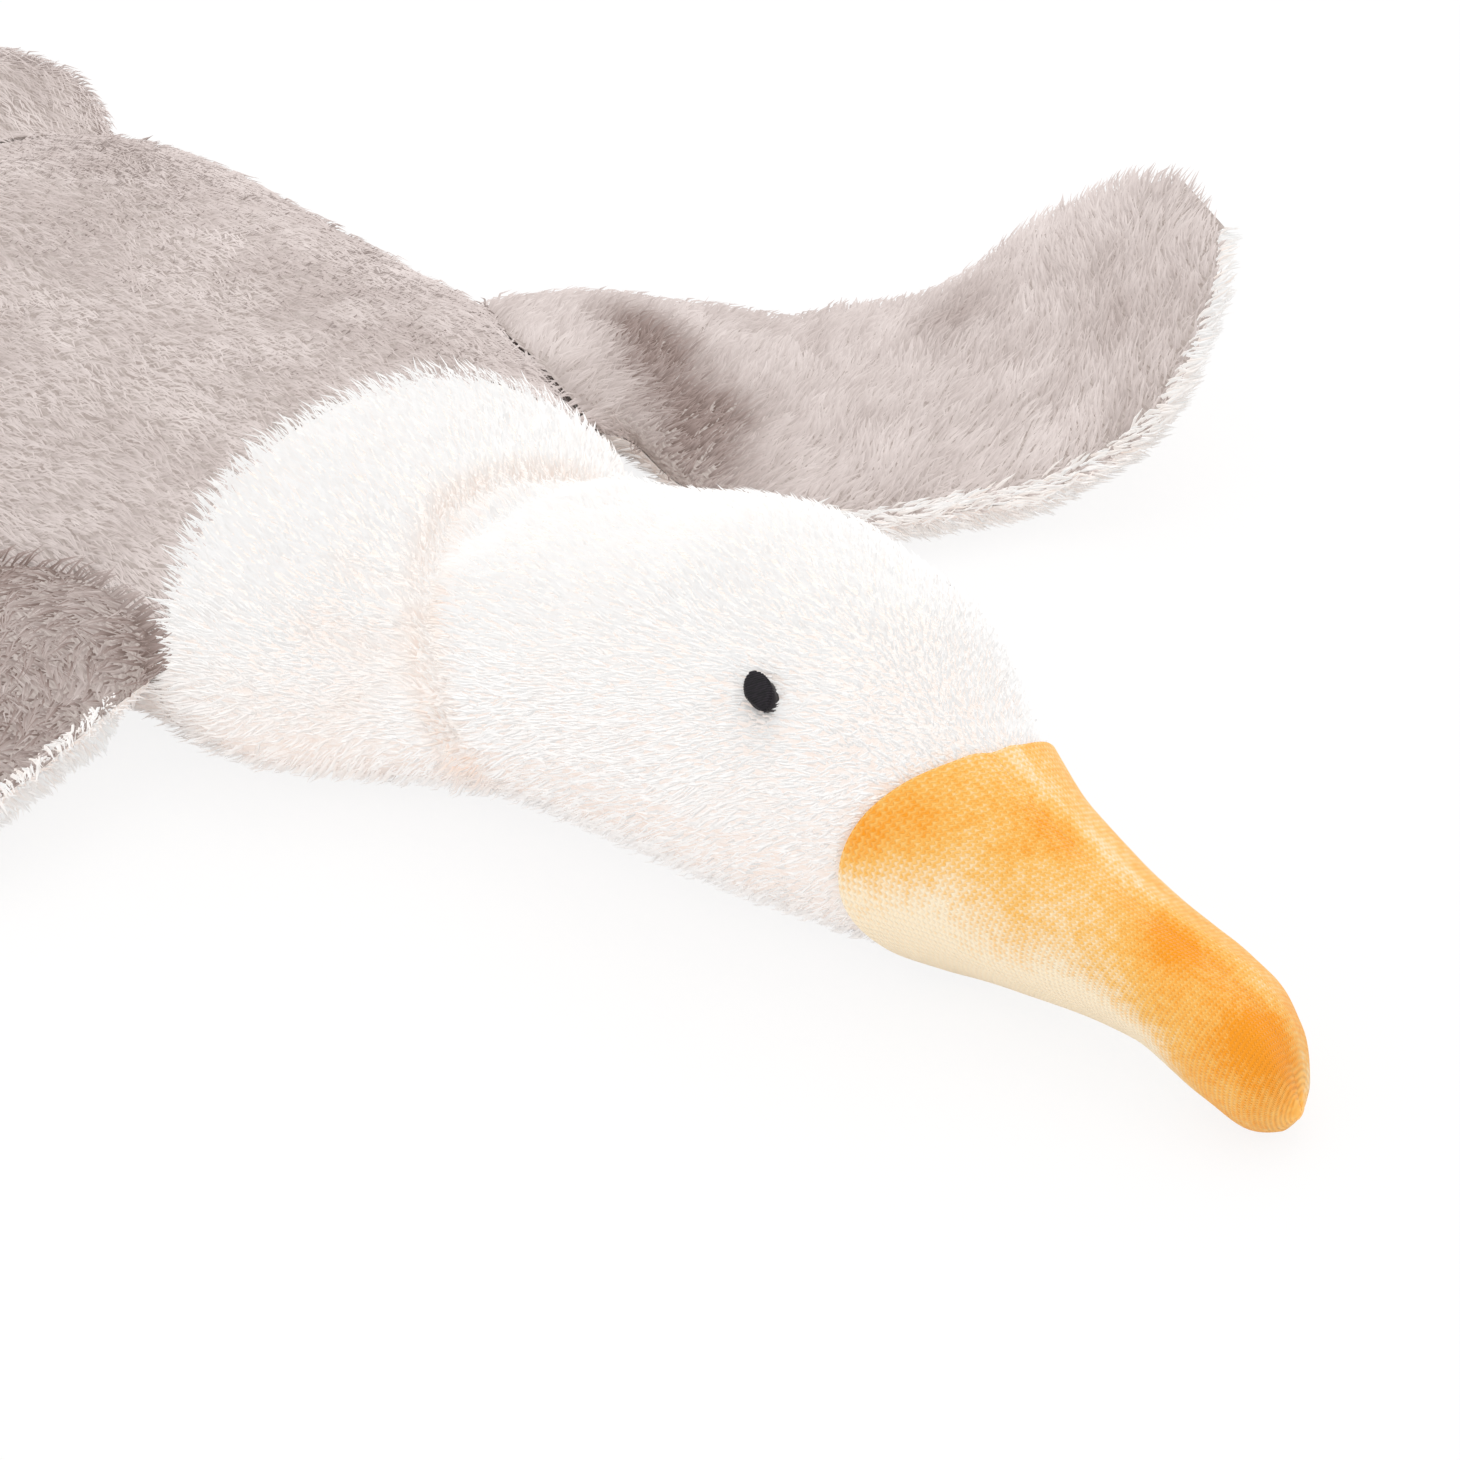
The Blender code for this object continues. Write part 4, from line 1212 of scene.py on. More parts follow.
    def meshed(
        self, rings: list[Array], tip: Array, steps: list[float], shade: Array, normals: Array
    ) -> bpy.types.Object:
        """The closed strands as one mesh, with what the material reads.

        Args:
            rings: The points round each strand, from the root on.
            tip: The tips.
            steps: How far along the strand each ring is.
            shade: How light each strand is.
            normals: The directions in which the strands' points catch the light.

        Returns:
            The pile as one object.
        """
        count, levels = len(tip), len(rings)
        size = 3 * levels + 1
        points = np.concatenate([*rings, tip[:, None]], axis=1).reshape(-1, 3)
        near = points[:, 2] < FLOOR_CLEAR
        points[near, 2] = FLOOR_CLEAR * np.exp(np.maximum(points[near, 2] / FLOOR_CLEAR - 1, -6))
        faces = strand_faces(levels, count)
        made = mesh_object(self.name, points, faces)
        made.data.normals_split_custom_set(self.corner_normals(points, faces, normals.reshape(-1, 3)))
        along = np.tile(np.concatenate([np.repeat(steps, 3), [1.0]]), count)
        light = np.repeat(shade, size)
        painted(made, "along", along)
        painted(made, "shade", light)
        ring = [-self.BAKE_WIDTH, self.BAKE_WIDTH, 0.0]
        spread = np.tile(np.concatenate([np.tile(ring, levels), [0.0]]), count)
        (low, shades), (foot, run) = self.BAKE_SHADE, self.BAKE_ALONG
        places = np.stack([low + shades * light + spread, foot + run * along], axis=-1)
        layer = made.data.uv_layers.new(name="OFBake")
        layer.uv.foreach_set("vector", places[faces.ravel()].astype(np.float32).ravel())
        made.visible_shadow = False  # thin fibres let the light through; the cloth under them shades
        made.visible_diffuse = False
        return claimed(made, self.plush.pile, self.plush.slot)

    @staticmethod
    def corner_normals(points: Array, faces: Array, normals: Array) -> Array:
        """The directions in which the faces' corners catch the light, never turned far from the face.

        Args:
            points: The strands' points.
            faces: Their triangles.
            normals: The soft directions at the points.

        Returns:
            One direction for each corner.
        """
        corners = points[faces]
        flat = unit(np.cross(corners[:, 1] - corners[:, 0], corners[:, 2] - corners[:, 0]) + 1e-15)[:, None]
        soft = normals[faces]
        facing = np.sum(soft * flat, axis=-1, keepdims=True)
        turned = flat * LEAST_FACING + unit(soft - flat * facing) * math.sqrt(1 - LEAST_FACING**2)
        return np.where(facing < LEAST_FACING, turned, soft).reshape(-1, 3)


def closed_end(grid: Array, middle: Array, reach: Array) -> Array:
    """A panel's points with its end rounded over.

    Args:
        grid: The panel's points, in rows from its start to its end.
        middle: Where each column closes.
        reach: How far the rounded end stands out, as a vector.

    Returns:
        The points with the rounded rows added.
    """
    last = grid[-1]
    turns = np.radians((30.0, 60.0, 84.0))
    rows = [middle + (last - middle) * math.cos(turn) + reach * math.sin(turn) for turn in turns]
    return np.concatenate([grid, np.stack(rows)])


def closed_ends(outer: Array, inner: Array, middle: Array, reach: Array) -> tuple[Array, Array]:
    """A sheet's outer and inner points with its end rounded over."""
    return closed_end(outer, middle, reach), closed_end(inner, middle, INNER_REACH * reach)


@dataclass
class Cover:
    """A panel's woven backing, a closed sheet that follows the patch."""

    name: str
    patch: Patch
    node: str
    plush: Plush
    rows: int = 50
    columns: int = 36
    inset: float = BACKING
    thickness: float = CLOTH - BACKING
    fill: float = 0.7
    end: Callable[[Array], tuple[Array, Array]] | None = None  # where its columns close and how far out

    def build(self) -> bpy.types.Object:
        """Makes the sheet and hides its CAD node."""
        u, v = np.linspace(0, 1, self.rows)[:, None], np.linspace(0, 1, self.columns)[None, :]
        outer = self.patch.points(u, v, self.inset)
        inner = self.patch.points(u, v, self.inset + self.thickness)
        if self.end:
            outer, inner = closed_ends(outer, inner, *self.end(outer[-1]))
        made = sheet_between(self.name, outer, inner)
        return claimed(made, self.plush.backing, self.plush.slot, self.node, fill=self.fill)


def grey_comb(points: Array) -> Array:
    """The way the grey pile is combed on body and tail."""
    near = ease((-0.015 - points[..., 1]) / 0.035)[..., None]
    at_wing = (ease((points[..., 1] - 0.055) / 0.02) * ease((points[..., 0] - 0.02) / 0.03))[..., None]
    lay = np.array(GREY_COMB) * (1 - near) + np.array((0.95, 0.10, -0.30)) * near
    return lay * (1 - at_wing) + np.array((0.75, 0.6, -0.1)) * at_wing


def white_comb(points: Array) -> Array:
    """The way the white pile is combed on neck and head."""
    return np.broadcast_to(np.array(WHITE_COMB), points.shape)


def under_comb(points: Array) -> Array:
    """The way the white pile is combed underneath."""
    return np.broadcast_to(np.array((-0.9, 0.3, 0.1)), points.shape)


def grey_shade(points: Array) -> Array:
    """How light the grey pile is: soft patches, with clumps of their own."""
    patch = 0.74 + 0.13 * lattice_noise(points, 0.030, 31) + 0.16 * lattice_noise(points, 0.010, 32)
    return patch + 0.12 * lattice_noise(points, 0.004, 33)


def even(shade: float) -> Rule:
    """The same shade everywhere."""
    return lambda points: np.full(points.shape[:-1], shade)


def layered(
    name: str,
    patch: Patch,
    layers: tuple[Layer, Layer],
    comb: Rule,
    plush: Plush,
    shade: Rule,
    **manner: object,
) -> None:
    """Makes a pile's long and its short layer.

    Args:
        name: The pile's name.
        patch: Where it stands.
        layers: The long and the short strands.
        comb: The way it is combed.
        plush: Its plush.
        shade: How light it is.
        manner: What else both layers have in common.
    """
    for label, layer in zip(("long", "short"), layers):
        Pile(f"{name}_{label}", patch, layer, comb, plush, shade, **manner).build()


def under_pile(name: str, patch: Patch, count: int, seed: int, trim: Rule | None = None) -> None:
    """Makes the short white pile under body or tail.

    Args:
        name: The pile's name.
        patch: Where it stands.
        count: How many strands.
        seed: Seed of its random draws.
        trim: The share of its length that a strand keeps.
    """
    layer = Layer(count, Strand.SPIKE, 3.2 * MM, 0.7 * MM, seed, (28.0, 14.0))
    shade = even(0.85)
    Pile(name, patch, layer, under_comb, WHITE, shade, inset=UNDER_BACKING, trim=trim, skylit=0.8).build()


@dataclass
class Body:
    """The grey back and the white belly, with the closure under it."""

    rear_edge: float = -0.040
    front_edge: float = -0.020
    ramp: float = 0.012
    cavity_floor: float = 0.0059
    side_rise: float = 0.30  # how much of the flap's rise is left at the side seams
    layers: tuple[Layer, Layer] = (
        Layer(14500, Strand.LOCK, 6.4 * MM, 0.5 * MM, 101),
        Layer(13500, Strand.SPIKE, 4.6 * MM, 0.6 * MM, 102, (40.0, 18.0)),
    )
    relief: Relief = Relief(lumps=((0.045, 0.0016, 5), (0.016, 0.0008, 6), (0.007, 0.0004, 7)))

    def raised(self, x: Array, around: Array) -> Array:
        """How far the inner belly flap is raised over the outer one: least at the side seams."""
        climbed = (self.front_edge + self.ramp - x) / (self.ramp - 3 * SEAM_GAP)
        from_seam = np.minimum(np.abs(around - 0.5), np.abs(around - 1.0))
        share = self.side_rise + (1 - self.side_rise) * ease((from_seam - 0.15) / 0.07)
        return np.where(x > self.rear_edge - SEAM_GAP, self.cavity_floor * share * ease(climbed), 0.0)

    def trim(self, points: Array) -> Array:
        """Shortens the grey pile along the neck's seam, where the white lies over it."""
        around = np.clip((points[..., 1] / 0.13) + 0.25, 0, 0.5)
        return 0.45 + 0.55 * ease((NECK_SEAM.at(around) - 0.001 - points[..., 0]) / 0.012)

    def build(self) -> None:
        """Makes the back with its pile and the two belly panels."""
        tail, neck = beside(TAIL_SEAM, SEAM_GAP), beside(NECK_SEAM, -SEAM_GAP)
        back = TrunkPatch(tail, neck, 0.0, 0.5, self.relief)
        Cover("back_cover", back, "back_panel", GREY, 60, 60, fill=0.75).build()
        layered("back_pile", back, self.layers, grey_comb, GREY, grey_shade, trim=self.trim)
        flat = Relief(lumps=((0.030, 0.0003, 8),))
        rear = TrunkPatch(tail, straight(self.front_edge), 0.5, 1.0, flat)
        front = TrunkPatch(straight(self.rear_edge), neck, 0.5, 1.0, flat, lift=self.raised)
        for label, patch, count in (("rear", rear, 4200), ("front", front, 7000)):
            name, node = f"belly_{label}", f"belly_{label}_panel"
            Cover(f"{name}_cover", patch, node, WHITE, 40, 40, UNDER_BACKING, UNDER_CLOTH, 0.7).build()
            under_pile(f"{name}_pile", patch, count, 110, self.bare_flap)

    def bare_flap(self, points: Array) -> Array:
        """Leaves the inner flap bare where the outer one covers it."""
        covered = (points[..., 0] > self.rear_edge - 0.001) & (points[..., 0] < self.front_edge + self.ramp)
        return np.where(covered & (points[..., 2] > 2.2 * MM) & (np.abs(points[..., 1]) < 0.06), 0.0, 1.0)


@dataclass
class Tail:
    """The rounded tail behind its seam."""

    end: float = -0.160
    drop: float = 3.5 * MM  # how far the tail's top has sunk behind its seam
    layers: tuple[Layer, Layer] = (
        Layer(5600, Strand.LOCK, 6.0 * MM, 0.5 * MM, 121),
        Layer(4600, Strand.SPIKE, 4.6 * MM, 0.6 * MM, 122, (40.0, 18.0)),
    )
    rim: Layer = Layer(600, Strand.LOCK, 6.0 * MM, 0.55 * MM, 124, (10.0, -25.0))
    rim_width: float = 6.0 * MM
    relief: Relief = Relief(lumps=((0.03, 0.0012, 9), (0.010, 0.0006, 10)))

    def closed(self, last: Array) -> tuple[Array, Array]:
        """Where the panels' ends meet, halfway up the tail's edge, and how far they stand out."""
        middle = last.copy()
        middle[:, 2] = TRUNK.at("side", last[:, 0])
        return middle, np.array((-2.0 * MM, 0, 0))

    def rim_comb(self, points: Array) -> Array:
        """The way the pile at the tail's end is combed: out over the edge."""
        back, down = np.full(points.shape[:-1], -1.0), np.full(points.shape[:-1], -0.2)
        return np.stack([back, 4 * points[..., 1], down], axis=-1)

    def sunk(self, x: Array, around: Array) -> Array:
        """How far the tail's top has sunk: nothing at its seams."""
        along = ease((-0.072 - x) / 0.020) * ease((x - self.end) / 0.025)
        return self.drop * along * np.abs(np.sin(WHOLE_TURN * around)) ** 0.5

    def build(self) -> None:
        """Makes the tail's two panels and their pile."""
        start, end = beside(TAIL_SEAM, -SEAM_GAP), straight(self.end)
        upper = TrunkPatch(start, end, 0.0, 0.5, self.relief, lift=self.sunk)
        lower = TrunkPatch(start, end, 0.5, 1.0, Relief(lumps=((0.03, 0.0003, 8),)))
        upper.outward = lower.outward = -1.0
        Cover("tail_upper_cover", upper, "tail_upper_panel", GREY, 36, 40, end=self.closed).build()
        cloth = {"inset": UNDER_BACKING, "thickness": UNDER_CLOTH, "end": self.closed}
        Cover("tail_lower_cover", lower, "tail_lower_panel", WHITE, 24, 30, **cloth).build()
        layered("tail_pile", upper, self.layers, grey_comb, GREY, grey_shade)
        rim = TrunkPatch(straight(self.end + self.rim_width), end, 0.02, 0.48)
        Pile("tail_rim_pile", rim, self.rim, self.rim_comb, GREY, grey_shade).build()
        under_pile("tail_lower_pile", lower, 3600, 123)


SHORT_FOLDS = (  # path, then depth, width and bank in millimetres
    (((0.1289, -0.0435, 0.0302), (0.1330, -0.0443, 0.0239), (0.1327, -0.0380, 0.0094)), 1.7, 1.6, 0.5),
    (((0.1180, -0.0351, 0.0404), (0.1094, -0.0399, 0.0370), (0.1006, -0.0449, 0.0387)), 1.0, 2.6, 0.2),
    (((0.1141, -0.0301, 0.0436), (0.1038, -0.0291, 0.0442), (0.0965, -0.0313, 0.0457)), 0.8, 2.2, 0.2),
    (((0.1225, -0.0385, 0.0376), (0.1163, -0.0433, 0.0325), (0.1120, -0.0491, 0.0275)), 0.7, 2.2, 0.2),
)
NECK_FOLDS = (
    Fold(
        (
            (0.1260, 0.0400, 0.0150),
            (0.1180, 0.0400, 0.0280),
            (0.1080, 0.0290, 0.0400),
            (0.1015, 0.0110, 0.0470),
            (0.1009, -0.0042, 0.0475),
            (0.1049, -0.0140, 0.0462),
            (0.1125, -0.0259, 0.0453),
            (0.1204, -0.0360, 0.0401),
            (0.1271, -0.0413, 0.0341),
            (0.1337, -0.0437, 0.0265),
            (0.1399, -0.0393, 0.0139),
        ),
        2.4 * MM,
        2.6 * MM,
        0.6 * MM,
    ),
    *(Fold(path, depth * MM, width * MM, bank * MM) for path, depth, width, bank in SHORT_FOLDS),
)


@dataclass
class Head:
    """The white neck and head, with the fold between them."""

    folds: tuple[Fold, ...] = ()
    eyes: tuple["Eye", ...] = ()
    bare_ahead: float = 3.0 * MM  # how far round an eye has no pile, on the beak's side
    bare_behind: float = 3.9 * MM
    short_ahead: float = 7.0 * MM  # how far round an eye has shorter pile, on the beak's side

    def eye_places(self) -> list[Array]:
        """The middles of the eyes."""
        return [TRUNK.points(eye.x, eye.place_around()) for eye in self.eyes]

    def trim(self, points: Array) -> Array:
        """Leaves the eyes free of pile, and shortens it towards the beak."""
        kept = 0.75 + 0.25 * ease((BEAK_SEAM.top - 0.010 - points[..., 0]) / 0.05)
        kept = kept * (0.85 + 0.35 * ease((0.100 - points[..., 0]) / 0.03))
        for place in self.eye_places():
            ahead = points[..., 0] - place[0]
            away = np.linalg.norm((points - place) * (1.25, 1, 1), axis=-1)
            bare = np.where(ahead > 0, self.bare_ahead, self.bare_behind)
            kept = np.where(away < bare, 0.0, kept)
            kept = np.where((away < self.short_ahead) & (ahead > 0), kept * 0.8, kept)
        return kept

    def shade(self, points: Array) -> Array:
        """How white the pile is: painted peach shade in the folds' creases, and painted warm shade low on the
        neck, near the floor.
        """
        white = 0.97 + 0.02 * lattice_noise(points, 0.02, 41) + 0.03 * lattice_noise(points, 0.005, 42)
        # painted shade: the pile turns peach along each crease, the more the deeper the fold
        for fold in self.folds:
            near = np.exp(-((fold.distance(points) / (1.5 * fold.width)) ** 2))
            white = white - fold.depth / (3.6 * MM) * near
        # painted shade: warmer and darker low on the neck, near the floor
        low = ease((0.040 - points[..., 2]) / 0.02) * ease((0.128 - points[..., 0]) / 0.02)
        return white - 0.12 * low

    def build(self) -> None:
        """Makes both panels of neck and head and their pile."""
        relief = Relief(lumps=((0.035, 0.0009, 12), (0.012, 0.0005, 13)), folds=self.folds)
        start, end = beside(NECK_SEAM, SEAM_GAP), beside(BEAK_SEAM, -SEAM_GAP)
        look = {"swirl": 30.0, "drawn": 0.5, "mottle": 0.03, "roundness": 0.15, "skylit": 1.2}
        look["trim"] = self.trim
        for label, first, long_count, short_count, long_seed, short_seed in (
            ("upper", 0.0, 8800, 15500, 138, 143),
            ("lower", 0.5, 2400, 8000, 137, 149),
        ):
            patch = TrunkPatch(start, end, first, first + 0.5, relief)
            Cover(f"head_{label}_cover", patch, f"head_{label}_panel", WHITE, 70, 50, fill=0.85).build()
            layers = (
                Layer(long_count, Strand.LOCK, 5.0 * MM, 0.55 * MM, long_seed, (52.0, 16.0)),
                Layer(short_count, Strand.SPIKE, 3.6 * MM, 0.65 * MM, short_seed, (48.0, 30.0)),
            )
            layered(f"head_{label}_pile", patch, layers, white_comb, WHITE, self.shade, **look)


@dataclass
class Beak:
    """The orange velour beak in two halves, sewn along the ridge."""

    tip_x: float = 0.3140
    girth: float = 0.11
    tip_depth: float = 1.9 * MM  # how far inside the tip its two halves meet
    ridge_bulge: float = 0.5 * MM
    bulge_place: float = 3.0 * MM
    bulge_width: float = 1.6 * MM
    groove_width: float = 1.4 * MM
    band_paleness: float = 0.22  # the turned-in edge beside the ridge is paler
    ridge_groove: float = 0.25 * MM
    patches: tuple[Spot, ...] = (
        ((0.2235, -0.0275, 0.0385), 0.0070, 0.38),
        ((0.2330, -0.0200, 0.0420), 0.0080, 0.22),
        ((0.2500, -0.0060, 0.0430), 0.0075, 0.13),
        ((0.2560, -0.0040, 0.0395), 0.0065, 0.12),
        ((0.2830, -0.0050, 0.0300), 0.0080, 0.46),
        ((0.3060, -0.0110, 0.0220), 0.0080, 0.52),
        ((0.2400, -0.0230, 0.0320), 0.0090, -0.22),
        ((0.2657, -0.0192, 0.0258), 0.0110, -0.22),
    )

    def tint(self, points: Array) -> Array:
        """How deep the orange is over the beak, from 0, pale, to 1, with painted sheen that lightens the
        underside.

        Args:
            points: Places on the beak.

        Returns:
            One value for each place.
        """
        along = np.clip((points[..., 0] - 0.215) / (self.tip_x - 0.215), 0, 1)
        middle = TRUNK.at("side", points[..., 0])
        high = (points[..., 2] - middle) / np.maximum(TRUNK.at("top", points[..., 0]) - middle, 0.004)
        depth = 0.46 + 0.08 * np.clip(high, -1, 1) + 0.16 * ease((along - 0.62) / 0.3)
        # painted sheen: paler towards the underside, against the shade from the floor
        depth = depth - 0.54 * ease((0.60 - high) / 1.3) * (1 - ease((along - 0.68) / 0.20))
        across = points[..., 1] - TRUNK.at("lean", points[..., 0])
        band = np.exp(-(((across - 4.0 * MM) / (2.6 * MM)) ** 2)) * (high > 0)
        depth = depth - self.band_paleness * band * ease((along - 0.02) / 0.1)
        for place, size, deeper in self.patches:
            away = np.linalg.norm(points - np.array(place), axis=-1)
            depth = depth + deeper * np.exp(-((away / size) ** 2))
        return depth

    def build(self) -> None:
        """Makes the two halves."""
        for side, first in ((Side.LEFT, 0.25), (Side.RIGHT, 0.75)):
            outer, inner = self.half(first, side.value * 0.03 * MM)
            label = side.name.lower()
            made = sheet_between(f"beak_{label}_velour", outer, inner)
            self.paint(made, outer, inner, first)
            claimed(made, VELOUR_NAP, "orange_velour", f"beak_{label}_panel", fill=0.85)

    def half(self, first: float, split: float) -> tuple[Array, Array]:
        """The points of one half.

        Args:
            first: Where it starts round the beak.
            split: The gap between it and the other half, under 0 for the right one.

        Returns:
            The grids over its outer and its inner face.
        """
        relief = Relief(lumps=((0.018, 0.0004, 14), (0.006, 0.00015, 15)))
        start, end = beside(BEAK_SEAM, SEAM_GAP), straight(self.tip_x)
        patch = TrunkPatch(start, end, first, first + 0.5, relief, 0.0, split)
        u, v = np.linspace(0, 1, 80)[:, None] ** 0.9, np.linspace(0, 1, 60)[None, :]
        around = (first + 0.5 * v) % 1.0
        from_ridge = np.abs(around - 0.25) * (0.04 + 0.06 * (1 - u))
        groove = self.ridge_groove * np.exp(-((from_ridge / self.groove_width) ** 2))
        bulge = self.ridge_bulge * np.exp(-(((from_ridge - self.bulge_place) / self.bulge_width) ** 2))
        outer, inner = patch.points(u, v, groove - bulge), patch.points(u, v, VELOUR)
        centre = TRUNK.points(self.tip_x, first, self.tip_depth)
        centre = centre + (outer[-1] - centre) * 0.04
        return closed_ends(outer, inner, centre, np.array((0.5 * MM, 0, 0)))

    def paint(self, made: bpy.types.Object, outer: Array, inner: Array, first: float) -> None:
        """Keeps the depth of colour and the knit's places for the material to read.

        Args:
            made: One half of the beak.
            outer: The grid over its outer face.
            inner: The grid over its inner face.
            first: Where it starts round the beak.
        """
        rows, columns = outer.shape[:2]
        painted(made, "tint", self.tint(np.concatenate([outer.reshape(-1, 3), inner.reshape(-1, 3)])))
        girth = (first + 0.5 * np.linspace(0, 1, columns)) * self.girth
        painted(made, "rib_place", np.tile(girth, 2 * rows))
        middle = outer[:, columns // 2]
        run = np.concatenate([[0.0], np.cumsum(np.linalg.norm(np.diff(middle, axis=0), axis=-1))])
        near_tip = ease((run[-1] - run) / (9 * MM))
        for name, by_row in (("stitch_place", run), ("knit_depth", near_tip)):
            painted(made, name, np.tile(np.repeat(by_row, columns), 2))


@dataclass
class Eye:
    """A satin-stitched oval on the side of the head."""

    side: Side
    x: float = 0.198
    up: float = 35.5  # degrees above the head's widest line
    head_tip: float = 10.5  # degrees that the head is tipped to its left
    length: float = 8.5 * MM
    width: float = 5.7 * MM
    tilt: float = 44.0
    girth: float = math.pi * 0.081  # the head's, at the eye
    threads: int = 19
    rounds: int = 6
    steps: int = 9

    def place_around(self) -> float:
        """Where the eye is round the head."""
        if self.side is Side.RIGHT:
            return (self.up + self.head_tip) / 360
        return 0.5 - (self.up - self.head_tip) / 360

    def placed(self, short_way: Array, long_way: Array, inset: Array) -> Array:
        """Points on the oval.

        Args:
            short_way: How far they are from its middle along its short way.
            long_way: The same along its long way.
            inset: How far inside the head's surface.

        Returns:
            The points, with X, Y and Z last.
        """
        tilt = -self.side.value * math.radians(self.tilt)
        x = self.x + (short_way * math.cos(tilt) - long_way * math.sin(tilt))
        turn = (short_way * math.sin(tilt) + long_way * math.cos(tilt)) / self.girth
        return TRUNK.points(x, self.place_around() + turn, inset)

    def thread(self, across: float) -> list[Array]:
        """The points round one thread, by where it lies from -1 to 1 along the oval."""
        reach = math.sqrt(1 - across**2) * (1.0 + 0.55 * min(across, 0.0) * abs(across) ** 0.3)
        points = []
        for step in np.linspace(-1, 1, self.steps):
            swell = max(0.0, 1 - (step * 0.98) ** 4) ** 0.5
            thick = 0.36 * MM * (0.35 + 0.65 * swell)
            for turn in np.linspace(0, WHOLE_TURN, self.rounds, endpoint=False):
                over = across * self.length / 2 + thick * math.cos(turn)
                lift = 0.5 * MM * swell * math.sqrt(1 - 0.8 * across**2) + thick * math.sin(turn)
                points.append(self.placed(step * reach * self.width / 2, over, -0.1 * MM - lift))
        return points

    def build(self) -> None:
        """Makes the eye of close parallel threads, each a rounded bar, over a dark ground."""
        spread = np.linspace(-1, 1, self.threads) * 0.96
        points = np.array([point for across in spread for point in self.thread(across)])
        index = np.arange(len(points)).reshape(self.threads, self.steps, self.rounds)
        self.sewn("stitches", points, index, "eye")
        spokes = np.linspace(0, WHOLE_TURN, 40, endpoint=False)
        rings = []
        for reach, inset in ((0.92, 2.6 * MM), (0.94, 0.2 * MM), (0.8, -0.1 * MM), (0.02, -0.15 * MM)):
            short_way = reach * self.width / 2 * np.cos(spokes)
            rings.append(self.placed(short_way, reach * self.length / 2 * np.sin(spokes), inset))
        points = np.concatenate(rings)
        self.sewn("ground", points, np.arange(len(points)).reshape(1, len(rings), -1))

    def sewn(self, label: str, points: Array, index: Array, *nodes: str) -> None:
        """Makes a piece of thread from rings of points.

        Args:
            label: The piece's name after the eye's.
            points: Its points.
            index: The points' numbers, by bar, ring and place round the ring.
            nodes: The CAD nodes that it stands for, without the side's name.
        """
        ahead = np.roll(index, -1, axis=2)
        faces = np.stack([index[:, :-1], ahead[:, :-1], ahead[:, 1:], index[:, 1:]], axis=-1).reshape(-1, 4)
        side = self.side.name.lower()
        made = mesh_object(f"{side}_eye_{label}", points, faces)
        turned_outwards(made, filled=True)
        claimed(made, BLACK_THREAD, "black_thread", *(f"{side}_{node}" for node in nodes))


# Painted shade on the far wing: darker pile in the shaded crease at its root, and one patch further out.
LEFT_WING_PAINTED_SHADE = (
    ((0.1085, 0.1450, 0.0186), 0.009, 0.30),
    ((0.0700, 0.0860, 0.0300), 0.011, 0.45),
    ((0.0768, 0.0831, 0.0303), 0.010, 0.45),
    ((0.0915, 0.0756, 0.0279), 0.014, 0.60),
    ((0.1033, 0.0682, 0.0242), 0.014, 0.65),
)


